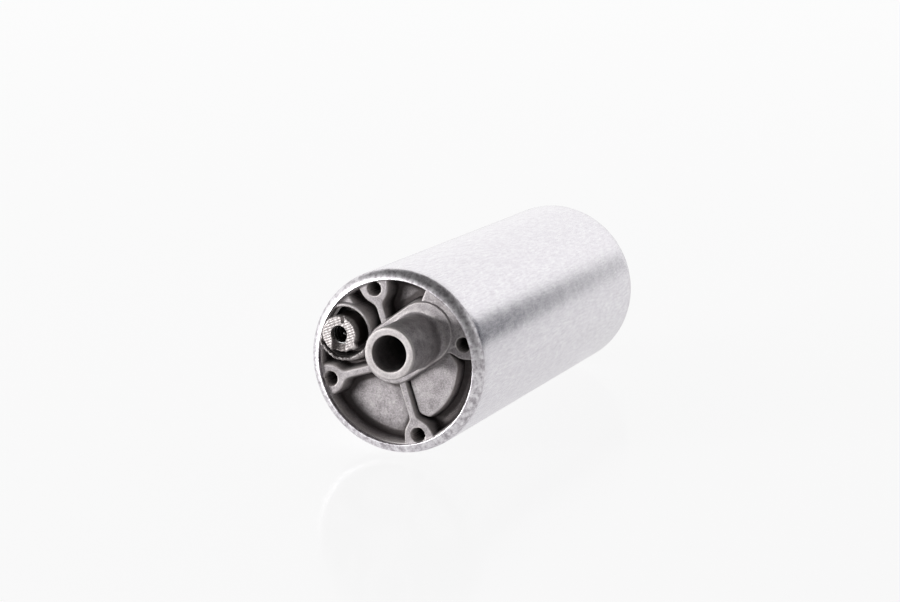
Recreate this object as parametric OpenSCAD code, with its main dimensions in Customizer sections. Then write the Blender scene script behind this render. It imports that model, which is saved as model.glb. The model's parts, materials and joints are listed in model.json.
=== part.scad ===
// Electric fuel pump with a toothed-ring pumping stage, lying on its can.
// The inlet face looks along -Y, the axis runs along Y, and the origin is the
// middle of the can. Every part is drawn with its axis along local Z, with the
// inlet end at the top, and the whole is then laid down along Y.

/* [Can] */
// Outside diameter of the can
can_d = 43; // [42:0.5:45]
// Wall of the can
can_wall = 1.2; // [1:0.1:1.4]
// Distance from the can's outside in to the opening of each rolled lip
lip_in = 2.3; // [2.1:0.05:2.5]
// Outside radius of the roll at each end of the can
lip_bend = 3; // [2.6:0.1:3.2]

/* [Stack along the axis] */
// Length of the cast inlet cover
cover_len = 12; // [12:0.5:16]
// Width of the gear set
gear_len = 8; // [6:0.5:12]
// Thickness of the port plate
plate_len = 6; // [5:0.5:8]
// Length of the motor between the port plate and the end bell
motor_len = 56; // [54:1:64]
// Length of the end bell inside the can
bell_len = 22.5; // [21.5:0.5:26]

/* [Inlet cover face] */
// Depth of the recess behind the face
floor_depth = 4.4; // [3.6:0.2:4.8]
// Radius of the fillet round the recess floor
floor_fillet = 2.4; // [1:0.2:3]
// Rim of the cover that shows inside the lip
rim_w = 0.3; // [0.25:0.05:0.5]
// Distance of the four holes' circle inside the recess's edge
hole_in = 1.4; // [1.4:0.1:1.9]
// Diameter of each hole
hole_d = 3.4; // [2.6:0.1:3.4]
// Depth of each hole from the face
hole_depth = 7.4; // [5:0.2:7.8]
// Angle of the first hole
hole_angle = 18; // [16:1:20]
// Diameter of the boss round each hole
boss_d = 6.6; // [6:0.2:7]
// Width of the ribs
rib_w = 1.8; // [1.4:0.1:2.4]
// Diameter of both ends of the raised web
web_d = 14; // [13.6:0.1:14.4]
// Height of the web above the face
web_rise = 0.5; // [0.2:0.1:0.8]
// Depth of the low platform behind the face
platform_drop = 1.1; // [0.6:0.1:2]
// Distance of the platform's outer edge inside the recess's edge
platform_in = 3.8; // [3.3:0.1:4.9]

/* [Suction nozzle] */
// Outside diameter of the nozzle
nozzle_d = 12; // [11.6:0.1:12.4]
// Bore of the nozzle
nozzle_bore_d = 8.3; // [7:0.1:8.8]
// Reach of the nozzle in front of the can
nozzle_reach = 14.5; // [10:0.5:20]
// Distance of the nozzle's axis inside the middle of the suction port
nozzle_in = 0.6; // [0.4:0.1:1]
// Direction of the nozzle's axis from the pump's axis
nozzle_angle = 45.5; // [44:0.5:47]
// Radius of the fillet round the nozzle's foot
nozzle_fillet = 1.6; // [1:0.1:2]

/* [Relief valve] */
// Distance of the relief valve's axis inside the recess's edge
relief_in = 4.9; // [4.7:0.1:5.1]
// Direction of the relief valve's axis from the pump's axis
relief_angle = 154.2; // [153:0.2:155.4]
// Diameter of the cast ring round the sleeve
ring_d = 13.5; // [13:0.1:14]
// Wall of that ring
ring_wall = 0.9; // [0.7:0.1:1.2]
// Depth of the pocket inside the ring, from the face
ring_depth = 3.3; // [2.5:0.1:4]
// Outside diameter of the sleeve
sleeve_d = 8.6; // [8.2:0.1:9]
// Diameter of the sleeve's stem in the cover
stem_d = 7.1; // [6.9:0.1:7.5]
// Bore at the sleeve's nose
sleeve_bore_d = 4.1; // [3.6:0.1:4.4]
// Reach of the sleeve in front of the can
sleeve_reach = 2.6; // [2:0.1:4]
// Wall behind the sleeve's nose
nose_wall = 1.4; // [1:0.1:2]
// Width of the slot through the sleeve's nose
slot_w = 3.2; // [2.4:0.1:3.4]
// Diameter of the relief ball
ball_d = 4.6; // [4.4:0.1:4.9]
// Diameter of the passage below the ball
ball_seat_d = 2.4; // [2:0.1:2.8]
// Wire of the relief spring
relief_wire = 0.45; // [0.35:0.05:0.5]

/* [Pumping stage] */
// Wall between the toothed ring's bore and the screws, on its thinnest side
gear_wall = 0.7; // [0.65:0.05:1]
// Distance between the axes of rotor and ring, as a share of the ring's radius
ecc_share = 0.0833; // [0.07:0.001:0.084]
// Radius of the circle on which the ring's lobes sit, as a share of the ring's radius
lobe_circle_share = 0.818; // [0.81:0.002:0.83]
// Radius of each lobe, as a share of that circle's radius
lobe_share = 0.2685; // [0.26:0.0005:0.27]
// Clearance between rotor and ring
tooth_gap = 0.06; // [0.05:0.01:0.08]
// Clearance on each face of the gear set and round it
run_gap = 0.05; // [0.04:0.01:0.08]
// Radial width of the kidney ports
port_w = 3; // [2.4:0.1:3.2]
// Depth of the suction port in the cover
port_depth = 3.4; // [3:0.1:3.8]
// Diameter of the three pump screws
screw_d = 3; // [2.5:0.1:3.2]
// Diameter of the two dowels
dowel_d = 3; // [2.5:0.1:3.2]
// Distance of screws and dowels inside the cover's side
screw_in = 3.75; // [3.6:0.05:3.9]

/* [Motor] */
// Diameter of the shaft
shaft_d = 4; // [3.6:0.1:4.4]
// Diameter of the cross pin that drives the rotor
pin_d = 1.5; // [1.2:0.1:1.6]
// Gap between the armature core and the magnets
air_gap = 0.6; // [0.5:0.1:0.8]
// Length of the end turns of the winding
turn_len = 5; // [4:0.5:5]
// Gap between the end turns and the commutator
lead_gap = 0.5; // [0.5:0.25:2]
// Thickness of the magnet shells
magnet_t = 4.5; // [4:0.1:4.8]
// Length of the magnets beyond each end of the armature core
magnet_over = 4; // [2:0.5:6]
// Angle that each magnet shell covers
magnet_angle = 146; // [130:2:150]
// Wall of the steel flux ring
flux_wall = 1.8; // [1.5:0.1:2]
// Diameter of the commutator, as a share of the armature core's
comm_share = 0.64; // [0.63:0.01:0.67]
// Thickness of the commutator
comm_len = 4; // [3:0.5:4]
// Outside diameter of both bushes
bush_d = 7.4; // [7:0.1:7.8]
// Length of the rear bush
bush_len = 6; // [5:0.5:7]

/* [Brushes] */
// Edge of the commutator left outside each brush
brush_edge = 0.1; // [0.1:0.05:0.4]
// Width of each brush
brush_t = 5; // [4:0.2:5.4]
// Length of each brush
brush_len = 10; // [8:0.5:11]
// Depth of the brush holders in the end bell
holder_depth = 17; // [16:0.5:18]
// Wire of the brush springs
brush_wire = 0.5; // [0.4:0.05:0.6]

/* [Outlet] */
// Distance of the outlet's axis outside the middle of the bell's inner floor
outlet_out = 0.65; // [0.4:0.05:0.8]
// Outside diameter of the outlet nozzle
outlet_d = 8; // [7.6:0.1:8.4]
// Bore of the outlet nozzle
outlet_bore_d = 5; // [4:0.1:5.2]
// Reach of the outlet nozzle behind the can
outlet_reach = 20; // [15:0.5:26]
// Diameter of the check valve's chamber
chamber_d = 7.2; // [7:0.1:7.4]
// Depth of the check valve's chamber
chamber_depth = 18; // [16:0.5:18.5]
// Wire of the check spring
check_wire = 0.5; // [0.4:0.05:0.55]

/* [Terminals] */
// Distance of the terminals inside the edge of the bell's inner floor
terminal_in = 3.4; // [3.2:0.1:3.6]
// Direction of each terminal below the middle line
terminal_angle = 52.8; // [51:0.2:54]
// Distance of the chokes inside the edge of the bell's inner floor
choke_in = 3; // [2.8:0.1:3.4]
// Diameter of the positive stud
positive_d = 5; // [4.6:0.1:5]
// Diameter of the negative stud
negative_d = 4; // [3.6:0.1:4.4]
// Width across the flats of the positive nut
positive_across = 8; // [8:0.5:9]
// Width across the flats of the negative nut
negative_across = 7; // [6.5:0.5:8]
// Reach of the studs behind the end bell
stud_reach = 12; // [11:0.5:16]

/* [Hidden] */
$fn = 72;

// Clearance of pieces that are pushed into one another and stay there
fit_gap = 0.05;
// Clearance of pieces pressed onto the shaft
press_gap = 0.01;
// Clearance of a shaft or a piston that moves in its bore
slide_gap = 0.04;
// Overlap that joins two shapes of one solid, or carries a cut past a face
eps = 0.2;

can_r = can_d / 2;
lip_r = can_r - lip_in;
roll_centre_r = can_r - lip_bend;
body_r = can_r - can_wall - fit_gap;
seat_drop = can_wall + fit_gap;
can_len = 2 * seat_drop + cover_len + gear_len + plate_len + motor_len + bell_len;

// Stations along the axis, from the inlet lip to the outlet lip
lip_z = can_len / 2;
face_z = lip_z - seat_drop;
cover_back_z = face_z - cover_len;
gear_back_z = cover_back_z - gear_len;
plate_back_z = gear_back_z - plate_len;
bell_front_z = plate_back_z - motor_len;
bell_back_z = bell_front_z - bell_len;
floor_z = face_z - floor_depth;
web_z = face_z + web_rise;

// The face: recess, circle of holes, and how far raised forms reach under the lip
recess_r = lip_r - rim_w;
hole_r = recess_r - hole_in;
platform_r = recess_r - platform_in;
face_limit_r = lip_r - 2 * fit_gap;
ear_flare = 1.2;
web_r = web_d / 2;
relief_xy = polar(recess_r - relief_in, relief_angle);

// Angles, from the first hole, that solid fills cover between the ribs
right_fill = [0, 49];
inner_fill = [70, 92];
left_fill = [111, 158];

// Seals: cord and groove, the same at both ends
seal_cord = 1.5;
groove_w = 2;
groove_from_end = 1.1;
groove_floor_r = can_r - can_wall - seal_cord - fit_gap;

// Relief valve: the ball sits on the edge of its passage
seat_z = cover_back_z + 3.4;
groove_depth = 1.5;
ball_r = ball_d / 2;
ball_z = seat_z + sqrt(ball_r * ball_r - ball_seat_d * ball_seat_d / 4) + fit_gap;
ball_room_r = ball_r + 0.3;
relief_coil_r = ball_room_r - relief_wire / 2 - 0.08;
relief_touch_r = ball_r + relief_wire / 2 + fit_gap;
relief_spring_low_z = ball_z - relief_wire / 2
    + sqrt(relief_touch_r * relief_touch_r - relief_coil_r * relief_coil_r);
sleeve_front_z = lip_z + sleeve_reach;
relief_spring_top_z = sleeve_front_z - nose_wall - fit_gap;

// Gear set: seven lobes in the ring and six on the rotor
ring_lobes = 7;
gear_angle = 135;
screw_r = body_r - screw_in;
gear_r = (screw_r - screw_d / 2 - gear_wall) / (1 + ecc_share);
ecc = ecc_share * gear_r;
lobe_circle_r = lobe_circle_share * gear_r;
lobe_r = lobe_share * lobe_circle_r;
ring_xy = -ecc * [cos(gear_angle), sin(gear_angle)];
pin_reach = lobe_circle_r - lobe_r - ecc - 2.2;
port_xy = ring_xy / 2;
port_r = lobe_circle_r - lobe_r + ecc / 2;
port_half_angle = 64;
suction_angle = gear_angle - 90;
groove_angle = 168;
screw_angles = [60, 180, 300];
dowel_angles = [120, 240];
screw_end = 3.2;
dowel_end = 2.9;
hole_over = 0.1;
countersink = 1.6;

// The nozzle stands over the suction port, on a web that runs from the hub to a pad
nozzle_xy = polar(port_r - nozzle_in, nozzle_angle);
hub_xy = [-0.8, 1.9];
pad_xy = nozzle_xy + [1.5, 2];

// Motor
shaft_r = shaft_d / 2;
motor_mid_z = (plate_back_z + bell_front_z) / 2;
magnet_r = body_r - flux_wall - fit_gap;
magnet_bore_r = magnet_r - magnet_t;
core_r = magnet_bore_r - air_gap;
comm_drop = 1.5;
comm_face_z = bell_front_z + comm_drop;
comm_top_z = comm_face_z + comm_len;
core_len = motor_len - 2 * (comm_drop + comm_len + lead_gap + turn_len);
core_half = core_len / 2;
magnet_len = core_len + 2 * magnet_over;
bearing_wall = 1.9;
bearing_rise = 2;
bearing_z = plate_back_z - bearing_rise;
washer_t = 0.8;
washer_r = 3.6;

// Slots of the core: round, with a tooth of iron between two and a tip over each
slot_count = 8;
tooth_w = 2.04;
tooth_tip = 1.6;
slot_mouth = 1.6;
slot_sine = sin(180 / slot_count);
slot_r = ((core_r - tooth_tip) * slot_sine - tooth_w / 2) / (1 + slot_sine);
slot_circle_r = core_r - tooth_tip - slot_r;

// Commutator and brushes: each brush fills the face between dish and edge
comm_r = comm_share * core_r;
dish_r = washer_r + 0.2;
brush_in_r = dish_r + 0.6;
brush_out_r = comm_r - brush_edge;
brush_w = brush_out_r - brush_in_r;
brush_x = (brush_out_r + brush_in_r) / 2;
brush_gap = 0.1;
brush_back_z = comm_face_z - fit_gap - brush_len;
bell_rim = 4.25;
bell_recess = 1;
bell_recess_r = body_r - bell_rim;
bell_floor_z = bell_front_z - bell_recess;
shaft_top_z = cover_back_z - 0.4;
shaft_low_z = bell_floor_z - bush_len + 0.3;
pin_z = gear_back_z + 1;

// Outlet
outlet_y = (bell_recess_r + bush_d / 2) / 2 + outlet_out;
tip_round = 0.5;
collar_w = 1.7;
collar_h = 3;
seat_t = 2.5;
seat_bore_r = 1.9;
check_seat_z = bell_floor_z - seat_t;
poppet_t = 1.6;
chamber_floor_z = bell_floor_z - chamber_depth;
check_coil_r = outlet_bore_d / 2 + 0.5;
outlet_tip_z = -lip_z - outlet_reach;

// Terminals and chokes
terminal_x = (bell_recess_r - terminal_in) * cos(terminal_angle);
terminal_y = (bell_recess_r - terminal_in) * sin(terminal_angle);
pad_r = 5.5;
bridge_w = 4;
back_rib_w = 0.92 * (terminal_x - positive_d);
pad_h = 1.2;
pad_face_z = bell_back_z - pad_h;
washer_len = 0.8;
head_r = 3.8;
head_t = 1.4;
knurl_rise = 0.4;
thread_depth = 0.3;
nut_clear = 0.2;
nut_share = 0.8;
choke_angle = -6.6;
choke_xy = polar(bell_recess_r - choke_in, choke_angle);
choke_r = 2.3;
choke_len = 11;
link_t = 0.5;
link_w = 3;

function polar(r, a) = r * [cos(a), sin(a)];

outline_points = 240;

// Outline of the rotor: the inner envelope of the ring's lobes, n of them with
// radius r on a circle of radius big, for the distance e between the axes
function lobe_turn(t, big, e, n) =
    atan2(sin((1 - n) * t), big / (e * n) - cos((1 - n) * t));
function rotor_outline(big, r, e, n) = [
    for (i = [0:outline_points - 1])
        let (t = 360 * i / outline_points, s = lobe_turn(t, big, e, n))
        [
            big * cos(t) - r * cos(t + s) - e * cos(n * t),
            -big * sin(t) + r * sin(t + s) + e * sin(n * t)
        ]
];

// A bar with round ends between two points, both ends of radius r; its straight
// sides lie a hair inside the ends, so that they cross them and don't just touch
module slot_shape(a, b, r) {
    d = b - a;
    side = r - fit_gap;
    translate(a) circle(r);
    translate(b) circle(r);
    translate(a) rotate(atan2(d[1], d[0])) translate([0, -side]) square([norm(d), 2 * side]);
}

// A wedge of a disc from angle a to angle b, out to radius r
module sector(a, b, r) {
    intersection() {
        circle(r);
        polygon([[0, 0], for (i = [0:4]) polar(2 * r, a + (b - a) * i / 4)]);
    }
}

// A straight bar from the centre out to radius r, at angle a
module spoke(a, r, w) {
    rotate(a) translate([0, -w / 2]) square([r, w]);
}

// A kidney port centred on angle a, cut from z over height h
module kidney(a, z, h) {
    translate([port_xy[0], port_xy[1], z])
        rotate(a - port_half_angle)
            rotate_extrude(angle = 2 * port_half_angle)
                translate([port_r - port_w / 2, 0]) square([port_w, h]);
}

// Half section of a body that fills the can from z_low to z_top and tucks its
// rounded edge under a rolled lip at the top
module tucked_half(z_low, z_top) {
    edge = lip_bend - seat_drop;
    translate([0, z_low]) square([body_r, z_top - edge - z_low]);
    translate([0, z_top - edge - eps]) square([roll_centre_r, edge + eps]);
    translate([roll_centre_r, z_top - edge]) circle(edge);
}

// A coil spring of round wire as one tube: n turns from z_low to z_top with
// the wire's middle on radius r, and flat end turns
module coil(r, wire, z_low, z_top, n) {
    sides = 6;
    steps = 14;
    rise = z_top - z_low - wire;
    total = n + 2;
    count = total * steps;
    function lift(i) = let (turn = i / steps)
        wire * min(1, turn) * 1.02 + wire * max(0, min(1, turn - total + 1)) * 1.02
        + (rise - 2.04 * wire) * max(0, min(n, turn - 1)) / n;
    rings = [
        for (i = [0:count], k = [0:sides - 1])
            let (a = 360 * i / steps, b = 360 * k / sides, q = r + wire / 2 * cos(b))
            [q * cos(a), q * sin(a), z_low + wire / 2 + lift(i) + wire / 2 * sin(b)]
    ];
    walls = [
        for (i = [0:count - 1], k = [0:sides - 1])
            let (p = i * sides + k, q = i * sides + (k + 1) % sides)
            [p, p + sides, q + sides, q]
    ];
    ends = [[for (k = [0:sides - 1]) k], [for (k = [0:sides - 1]) count * sides + sides - 1 - k]];
    polyhedron(points = rings, faces = concat(walls, ends));
}

module hex_nut(across, h, bore) {
    difference() {
        cylinder(h = h, d = across / cos(30), $fn = 6);
        translate([0, 0, -eps]) cylinder(h = h + 2 * eps, d = bore);
    }
}

module seal_ring() {
    rotate_extrude()
        translate([groove_floor_r + seal_cord / 2 + fit_gap / 2, 0]) circle(d = seal_cord);
}

module seal_groove(z) {
    translate([0, 0, z - groove_w / 2])
        difference() {
            cylinder(h = groove_w, r = body_r + 1);
            translate([0, 0, -eps]) cylinder(h = groove_w + 2 * eps, r = groove_floor_r);
        }
}

// Lays a piece drawn along local Z into the part's frame
module lay() {
    rotate([90, 0, 0]) children();
}

module can() {
    color("gainsboro") lay() rotate_extrude() {
        translate([can_r - can_wall, lip_bend - lip_z])
            square([can_wall, can_len - 2 * lip_bend]);
        for (end = [0, 1])
            mirror([0, end])
                translate([roll_centre_r, lip_z - lip_bend])
                    intersection() {
                        difference() {
                            circle(lip_bend);
                            circle(lip_bend - can_wall);
                        }
                        translate([lip_r - roll_centre_r, 0]) square(lip_bend + eps);
                    }
    }
}

// A fill between two angles that are counted from the first hole
module fill(angles, r) {
    sector(hole_angle + angles[0], hole_angle + angles[1], r);
}

// The cover's face, all that stands up to the level of its rim
module face_shape() {
    intersection() {
        circle(face_limit_r);
        union() {
            for (i = [0:3])
                rotate(hole_angle + 90 * i) {
                    translate([hole_r, 0]) circle(d = boss_d);
                    polygon([
                        [hole_r, -boss_d / 2], [body_r, -boss_d / 2 - ear_flare],
                        [body_r, boss_d / 2 + ear_flare], [hole_r, boss_d / 2]
                    ]);
                }
            for (i = [0:3])
                spoke(hole_angle + 90 * i, hole_r, rib_w);
            translate(hub_xy) circle(web_r);
            fill(right_fill, body_r);
            difference() {
                fill(left_fill, body_r);
                circle(norm(relief_xy));
            }
            translate(relief_xy) circle(d = ring_d);
            fill(inner_fill, hole_r - boss_d - 0.6);
        }
    }
}

// The low platform between two ribs, rounded at its outer corners
module platform_shape() {
    corner = 1.5;
    groove = 1;
    ends = [hole_angle - 78, hole_angle - 14];
    difference() {
        sector(hole_angle - 90, hole_angle, platform_r - corner);
        spoke(hole_angle - 90, can_r, rib_w + 2 * groove);
        spoke(hole_angle, can_r, rib_w);
    }
    difference() {
        sector(ends[0], ends[1], platform_r);
        circle(platform_r - corner - eps);
    }
    for (a = ends)
        translate(polar(platform_r - corner, a)) circle(corner);
}

module web_shape() {
    slot_shape(hub_xy, pad_xy, web_r);
}

module nozzle_outside() {
    translate(nozzle_xy) rotate_extrude() {
        translate([0, floor_z - eps])
            square([nozzle_d / 2, lip_z + nozzle_reach - tip_round - floor_z + eps]);
        translate([0, floor_z])
            square([nozzle_d / 2 - tip_round, lip_z + nozzle_reach - floor_z]);
        translate([nozzle_d / 2 - tip_round, lip_z + nozzle_reach - tip_round])
            circle(tip_round, $fn = 24);
        translate([nozzle_d / 2 - eps, web_z - eps])
            difference() {
                square(nozzle_fillet + eps);
                translate([nozzle_fillet + eps, nozzle_fillet + eps]) circle(nozzle_fillet);
            }
    }
}

module inlet_cover() {
    color("darkgray") lay() difference() {
        union() {
            difference() {
                rotate_extrude() intersection() {
                    tucked_half(cover_back_z, face_z);
                    translate([0, cover_back_z]) square([body_r, cover_len]);
                }
                // The recess, with its fillet left standing round the floor
                rotate_extrude() difference() {
                    translate([0, floor_z]) square([recess_r, floor_depth + eps]);
                    translate([recess_r - floor_fillet, floor_z]) difference() {
                        square(floor_fillet + eps);
                        translate([0, floor_fillet]) circle(floor_fillet);
                    }
                }
            }
            translate([0, 0, floor_z - eps]) linear_extrude(floor_depth + eps) face_shape();
            translate([0, 0, floor_z - eps])
                linear_extrude(floor_depth - platform_drop + eps) platform_shape();
            translate([0, 0, floor_z - eps])
                linear_extrude(floor_depth + web_rise + eps) web_shape();
            intersection() {
                nozzle_outside();
                union() {
                    translate([0, 0, floor_z - eps])
                        linear_extrude(can_len) web_shape();
                    translate([nozzle_xy[0], nozzle_xy[1], floor_z - eps])
                        cylinder(h = can_len, d = nozzle_d);
                }
            }
        }
        // Suction bore and its port to the gears
        translate([nozzle_xy[0], nozzle_xy[1], cover_back_z + port_depth - eps])
            cylinder(h = can_len, d = nozzle_bore_d);
        kidney(suction_angle, cover_back_z - eps, port_depth + eps);
        // Pressure port, blind, and its groove to the relief valve
        kidney(suction_angle + 180, cover_back_z - eps, groove_depth + eps);
        translate([0, 0, cover_back_z - eps])
            linear_extrude(groove_depth + eps)
                slot_shape(polar(port_r, groove_angle), relief_xy, ball_seat_d / 2 - fit_gap);
        // Relief passage, chamber and pocket
        translate([relief_xy[0], relief_xy[1], cover_back_z]) cylinder(h = cover_len, d = ball_seat_d);
        translate([relief_xy[0], relief_xy[1], seat_z])
            cylinder(h = cover_len, d = stem_d + 2 * fit_gap);
        translate([relief_xy[0], relief_xy[1], face_z - ring_depth])
            intersection() {
                cylinder(h = cover_len, d = ring_d - 2 * ring_wall);
                translate([-relief_xy[0], -relief_xy[1], 0]) cylinder(h = cover_len, r = recess_r);
            }
        // The four blind holes in the face
        for (i = [0:3])
            rotate(hole_angle + 90 * i)
                translate([hole_r, 0, face_z - hole_depth]) cylinder(h = cover_len, d = hole_d);
        // Threaded holes for the pump screws, and dowel holes
        for (a = screw_angles)
            rotate(a) translate([screw_r, 0, cover_back_z - eps])
                cylinder(h = screw_end + hole_over + eps, d = screw_d + 2 * fit_gap);
        for (a = dowel_angles)
            rotate(a) translate([screw_r, 0, cover_back_z - eps])
                cylinder(h = dowel_end + hole_over + eps, d = dowel_d + 2 * press_gap);
        seal_groove(cover_back_z + groove_from_end + groove_w / 2);
    }
}

module cover_seal() {
    color("black") lay()
        translate([0, 0, cover_back_z + groove_from_end + groove_w / 2]) seal_ring();
}

module relief_sleeve() {
    nose_round = 1;
    color("silver") lay() translate([relief_xy[0], relief_xy[1], 0]) difference() {
        rotate_extrude() difference() {
            union() {
                translate([0, seat_z]) square([stem_d / 2, sleeve_front_z - nose_round - seat_z]);
                translate([0, face_z - ring_depth])
                    square([sleeve_d / 2, sleeve_front_z - nose_round - face_z + ring_depth]);
                translate([0, sleeve_front_z - nose_round - eps])
                    square([sleeve_d / 2 - nose_round, nose_round + eps]);
                translate([sleeve_d / 2 - nose_round, sleeve_front_z - nose_round])
                    circle(nose_round);
            }
            translate([0, seat_z - eps])
                square([ball_room_r, sleeve_front_z - nose_wall - seat_z + eps]);
            square([sleeve_bore_d / 2, can_len]);
        }
        translate([-slot_w / 2, -can_r, sleeve_front_z - nose_wall - 1])
            cube([slot_w, can_r, can_r]);
    }
}

module relief_ball() {
    color("silver") lay() translate([relief_xy[0], relief_xy[1], ball_z]) sphere(ball_r);
}

module relief_spring() {
    color("slategray") lay() translate([relief_xy[0], relief_xy[1], 0])
        coil(relief_coil_r, relief_wire, relief_spring_low_z, relief_spring_top_z, 3);
}

module pump_ring() {
    color("dimgray") lay() translate([0, 0, gear_back_z]) difference() {
        cylinder(h = gear_len, r = body_r);
        translate([ring_xy[0], ring_xy[1], -eps])
            cylinder(h = gear_len + 2 * eps, r = gear_r + run_gap);
        for (a = screw_angles)
            rotate(a) translate([screw_r, 0, -eps])
                cylinder(h = gear_len + 2 * eps, d = screw_d + 4 * fit_gap);
        for (a = dowel_angles)
            rotate(a) translate([screw_r, 0, -eps])
                cylinder(h = gear_len + 2 * eps, d = dowel_d + 2 * press_gap);
    }
}

module gear_ring() {
    root_r = lobe_circle_r - lobe_r + 2 * ecc + tooth_gap;
    color("gray") lay()
        translate([ring_xy[0], ring_xy[1], gear_back_z + run_gap])
            linear_extrude(gear_len - 2 * run_gap) difference() {
                circle(gear_r);
                difference() {
                    circle(root_r);
                    for (i = [0:ring_lobes - 1])
                        rotate(gear_angle + 360 * i / ring_lobes)
                            translate([lobe_circle_r, 0]) circle(lobe_r);
                }
            }
}

module inner_rotor() {
    color("silver") lay() translate([0, 0, gear_back_z + run_gap]) rotate(gear_angle)
        difference() {
            linear_extrude(gear_len - 2 * run_gap)
                polygon(rotor_outline(lobe_circle_r, lobe_r + tooth_gap, ecc, ring_lobes));
            translate([0, 0, -eps]) cylinder(h = gear_len + 2 * eps, r = shaft_r + press_gap);
            translate([-pin_reach - 0.4, -pin_d / 2 - fit_gap, -eps])
                cube([
                    2 * pin_reach + 0.8, pin_d + 2 * fit_gap,
                    pin_z - gear_back_z + pin_d / 2 + fit_gap + eps
                ]);
        }
}

module drive_pin() {
    color("silver") lay() translate([0, 0, pin_z]) rotate(gear_angle)
        translate([-pin_reach, 0, 0]) rotate([0, 90, 0]) cylinder(h = 2 * pin_reach, d = pin_d);
}

module port_plate() {
    color("darkgray") lay() difference() {
        union() {
            translate([0, 0, plate_back_z]) cylinder(h = plate_len, r = body_r);
            translate([0, 0, bearing_z])
                cylinder(h = bearing_rise + eps, r = bush_d / 2 + bearing_wall);
        }
        translate([0, 0, bearing_z - eps])
            cylinder(h = plate_len + bearing_rise + 2 * eps, d = bush_d + 2 * press_gap);
        kidney(suction_angle + 180, plate_back_z - eps, plate_len + 2 * eps);
        kidney(suction_angle, gear_back_z - groove_depth, groove_depth + eps);
        for (a = screw_angles)
            rotate(a) translate([screw_r, 0, plate_back_z]) {
                translate([0, 0, -eps])
                    cylinder(h = plate_len + 2 * eps, d = screw_d + 4 * fit_gap);
                translate([0, 0, -eps])
                    cylinder(h = countersink + 2 * eps, d = 2 * screw_d + 4 * fit_gap);
            }
        for (a = dowel_angles)
            rotate(a) translate([screw_r, 0, gear_back_z - dowel_end - hole_over])
                cylinder(h = dowel_end + hole_over + eps, d = dowel_d + 2 * press_gap);
    }
}

module dowel_pins() {
    color("silver") lay()
        for (a = dowel_angles)
            rotate(a) translate([screw_r, 0, gear_back_z - dowel_end])
                cylinder(h = gear_len + 2 * dowel_end, d = dowel_d);
}

module pump_screws() {
    socket_d = 0.8 * screw_d;
    socket_h = 1.1;
    color("silver") lay()
        for (a = screw_angles)
            rotate(a) translate([screw_r, 0, plate_back_z + eps]) difference() {
                union() {
                    cylinder(h = countersink, d = 2 * screw_d);
                    cylinder(h = plate_len + gear_len + screw_end - eps, d = screw_d);
                }
                translate([0, 0, -eps]) cylinder(h = socket_h + eps, d = socket_d, $fn = 6);
            }
}

module front_bush() {
    below_gears = 0.3;
    color("peru") lay() translate([0, 0, bearing_z])
        bush_shape(plate_len + bearing_rise - below_gears);
}

module shaft() {
    color("silver") lay() difference() {
        translate([0, 0, shaft_low_z]) cylinder(h = shaft_top_z - shaft_low_z, r = shaft_r);
        translate([0, 0, pin_z]) rotate([0, 90, gear_angle])
            translate([0, 0, -can_r]) cylinder(h = can_d, d = pin_d + 2 * press_gap);
    }
}

module shaft_washer(z) {
    translate([0, 0, z]) difference() {
        cylinder(h = washer_t, r = washer_r);
        translate([0, 0, -eps]) cylinder(h = washer_t + 2 * eps, r = shaft_r + press_gap);
    }
}

module front_washer() {
    color("ivory") lay() shaft_washer(bearing_z - washer_t - run_gap);
}

module rear_washer() {
    color("ivory") lay() shaft_washer(bell_floor_z + run_gap);
}

module armature_core() {
    color("gray") lay() translate([0, 0, motor_mid_z - core_half])
        linear_extrude(core_len) difference() {
            circle(core_r);
            circle(shaft_r + press_gap);
            for (i = [0:slot_count - 1])
                rotate(360 * i / slot_count) {
                    translate([slot_circle_r, 0]) circle(slot_r);
                    translate([slot_circle_r, -slot_mouth / 2]) square([core_r, slot_mouth]);
                }
        }
}

// Copper in the slots, round end turns, and the leads down to the commutator
module windings() {
    turn_r = slot_circle_r + slot_r;
    turn_in_r = shaft_r + 1.5;
    turn_round = 2;
    wire_gap = 0.1;
    lead_r = 0.5;
    color("chocolate") lay() {
        for (i = [0:slot_count - 1])
            rotate(360 * i / slot_count)
                translate([slot_circle_r, 0, motor_mid_z - core_half - eps])
                    cylinder(h = core_len + 2 * eps, r = slot_r - wire_gap);
        for (end = [0, 1])
            translate([0, 0, motor_mid_z]) mirror([0, 0, end])
                translate([0, 0, core_half]) rotate_extrude() {
                    translate([turn_in_r, 0])
                        square([turn_r - turn_in_r - turn_round, turn_len]);
                    translate([turn_in_r, 0])
                        square([turn_r - turn_in_r, turn_len - turn_round]);
                    translate([turn_r - turn_round, turn_len - turn_round]) circle(turn_round);
                }
        for (i = [0:slot_count - 1])
            rotate(360 * (i + 0.5) / slot_count)
                translate([comm_r - lead_r - 0.3, 0, comm_top_z + 0.02])
                    cylinder(h = lead_gap + eps, r = lead_r);
    }
}

module commutator() {
    cut_w = 0.5;
    cut_h = 1.4;
    dish_h = 0.6;
    color("peru") lay() translate([0, 0, comm_face_z]) difference() {
        cylinder(h = comm_len, r = comm_r);
        translate([0, 0, -eps]) cylinder(h = comm_len + 2 * eps, r = shaft_r + press_gap);
        for (i = [0:slot_count / 2 - 1])
            rotate(360 * i / slot_count)
                translate([-core_r, -cut_w / 2, -eps]) cube([2 * core_r, cut_w, cut_h + eps]);
        translate([0, 0, -eps]) cylinder(h = dish_h + eps, r = dish_r);
    }
}

module bush_shape(h) {
    difference() {
        cylinder(h = h, d = bush_d);
        translate([0, 0, -eps]) cylinder(h = h + 2 * eps, r = shaft_r + slide_gap);
    }
}

module rear_bush() {
    color("peru") lay() translate([0, 0, bell_floor_z - bush_len]) bush_shape(bush_len);
}

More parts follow.
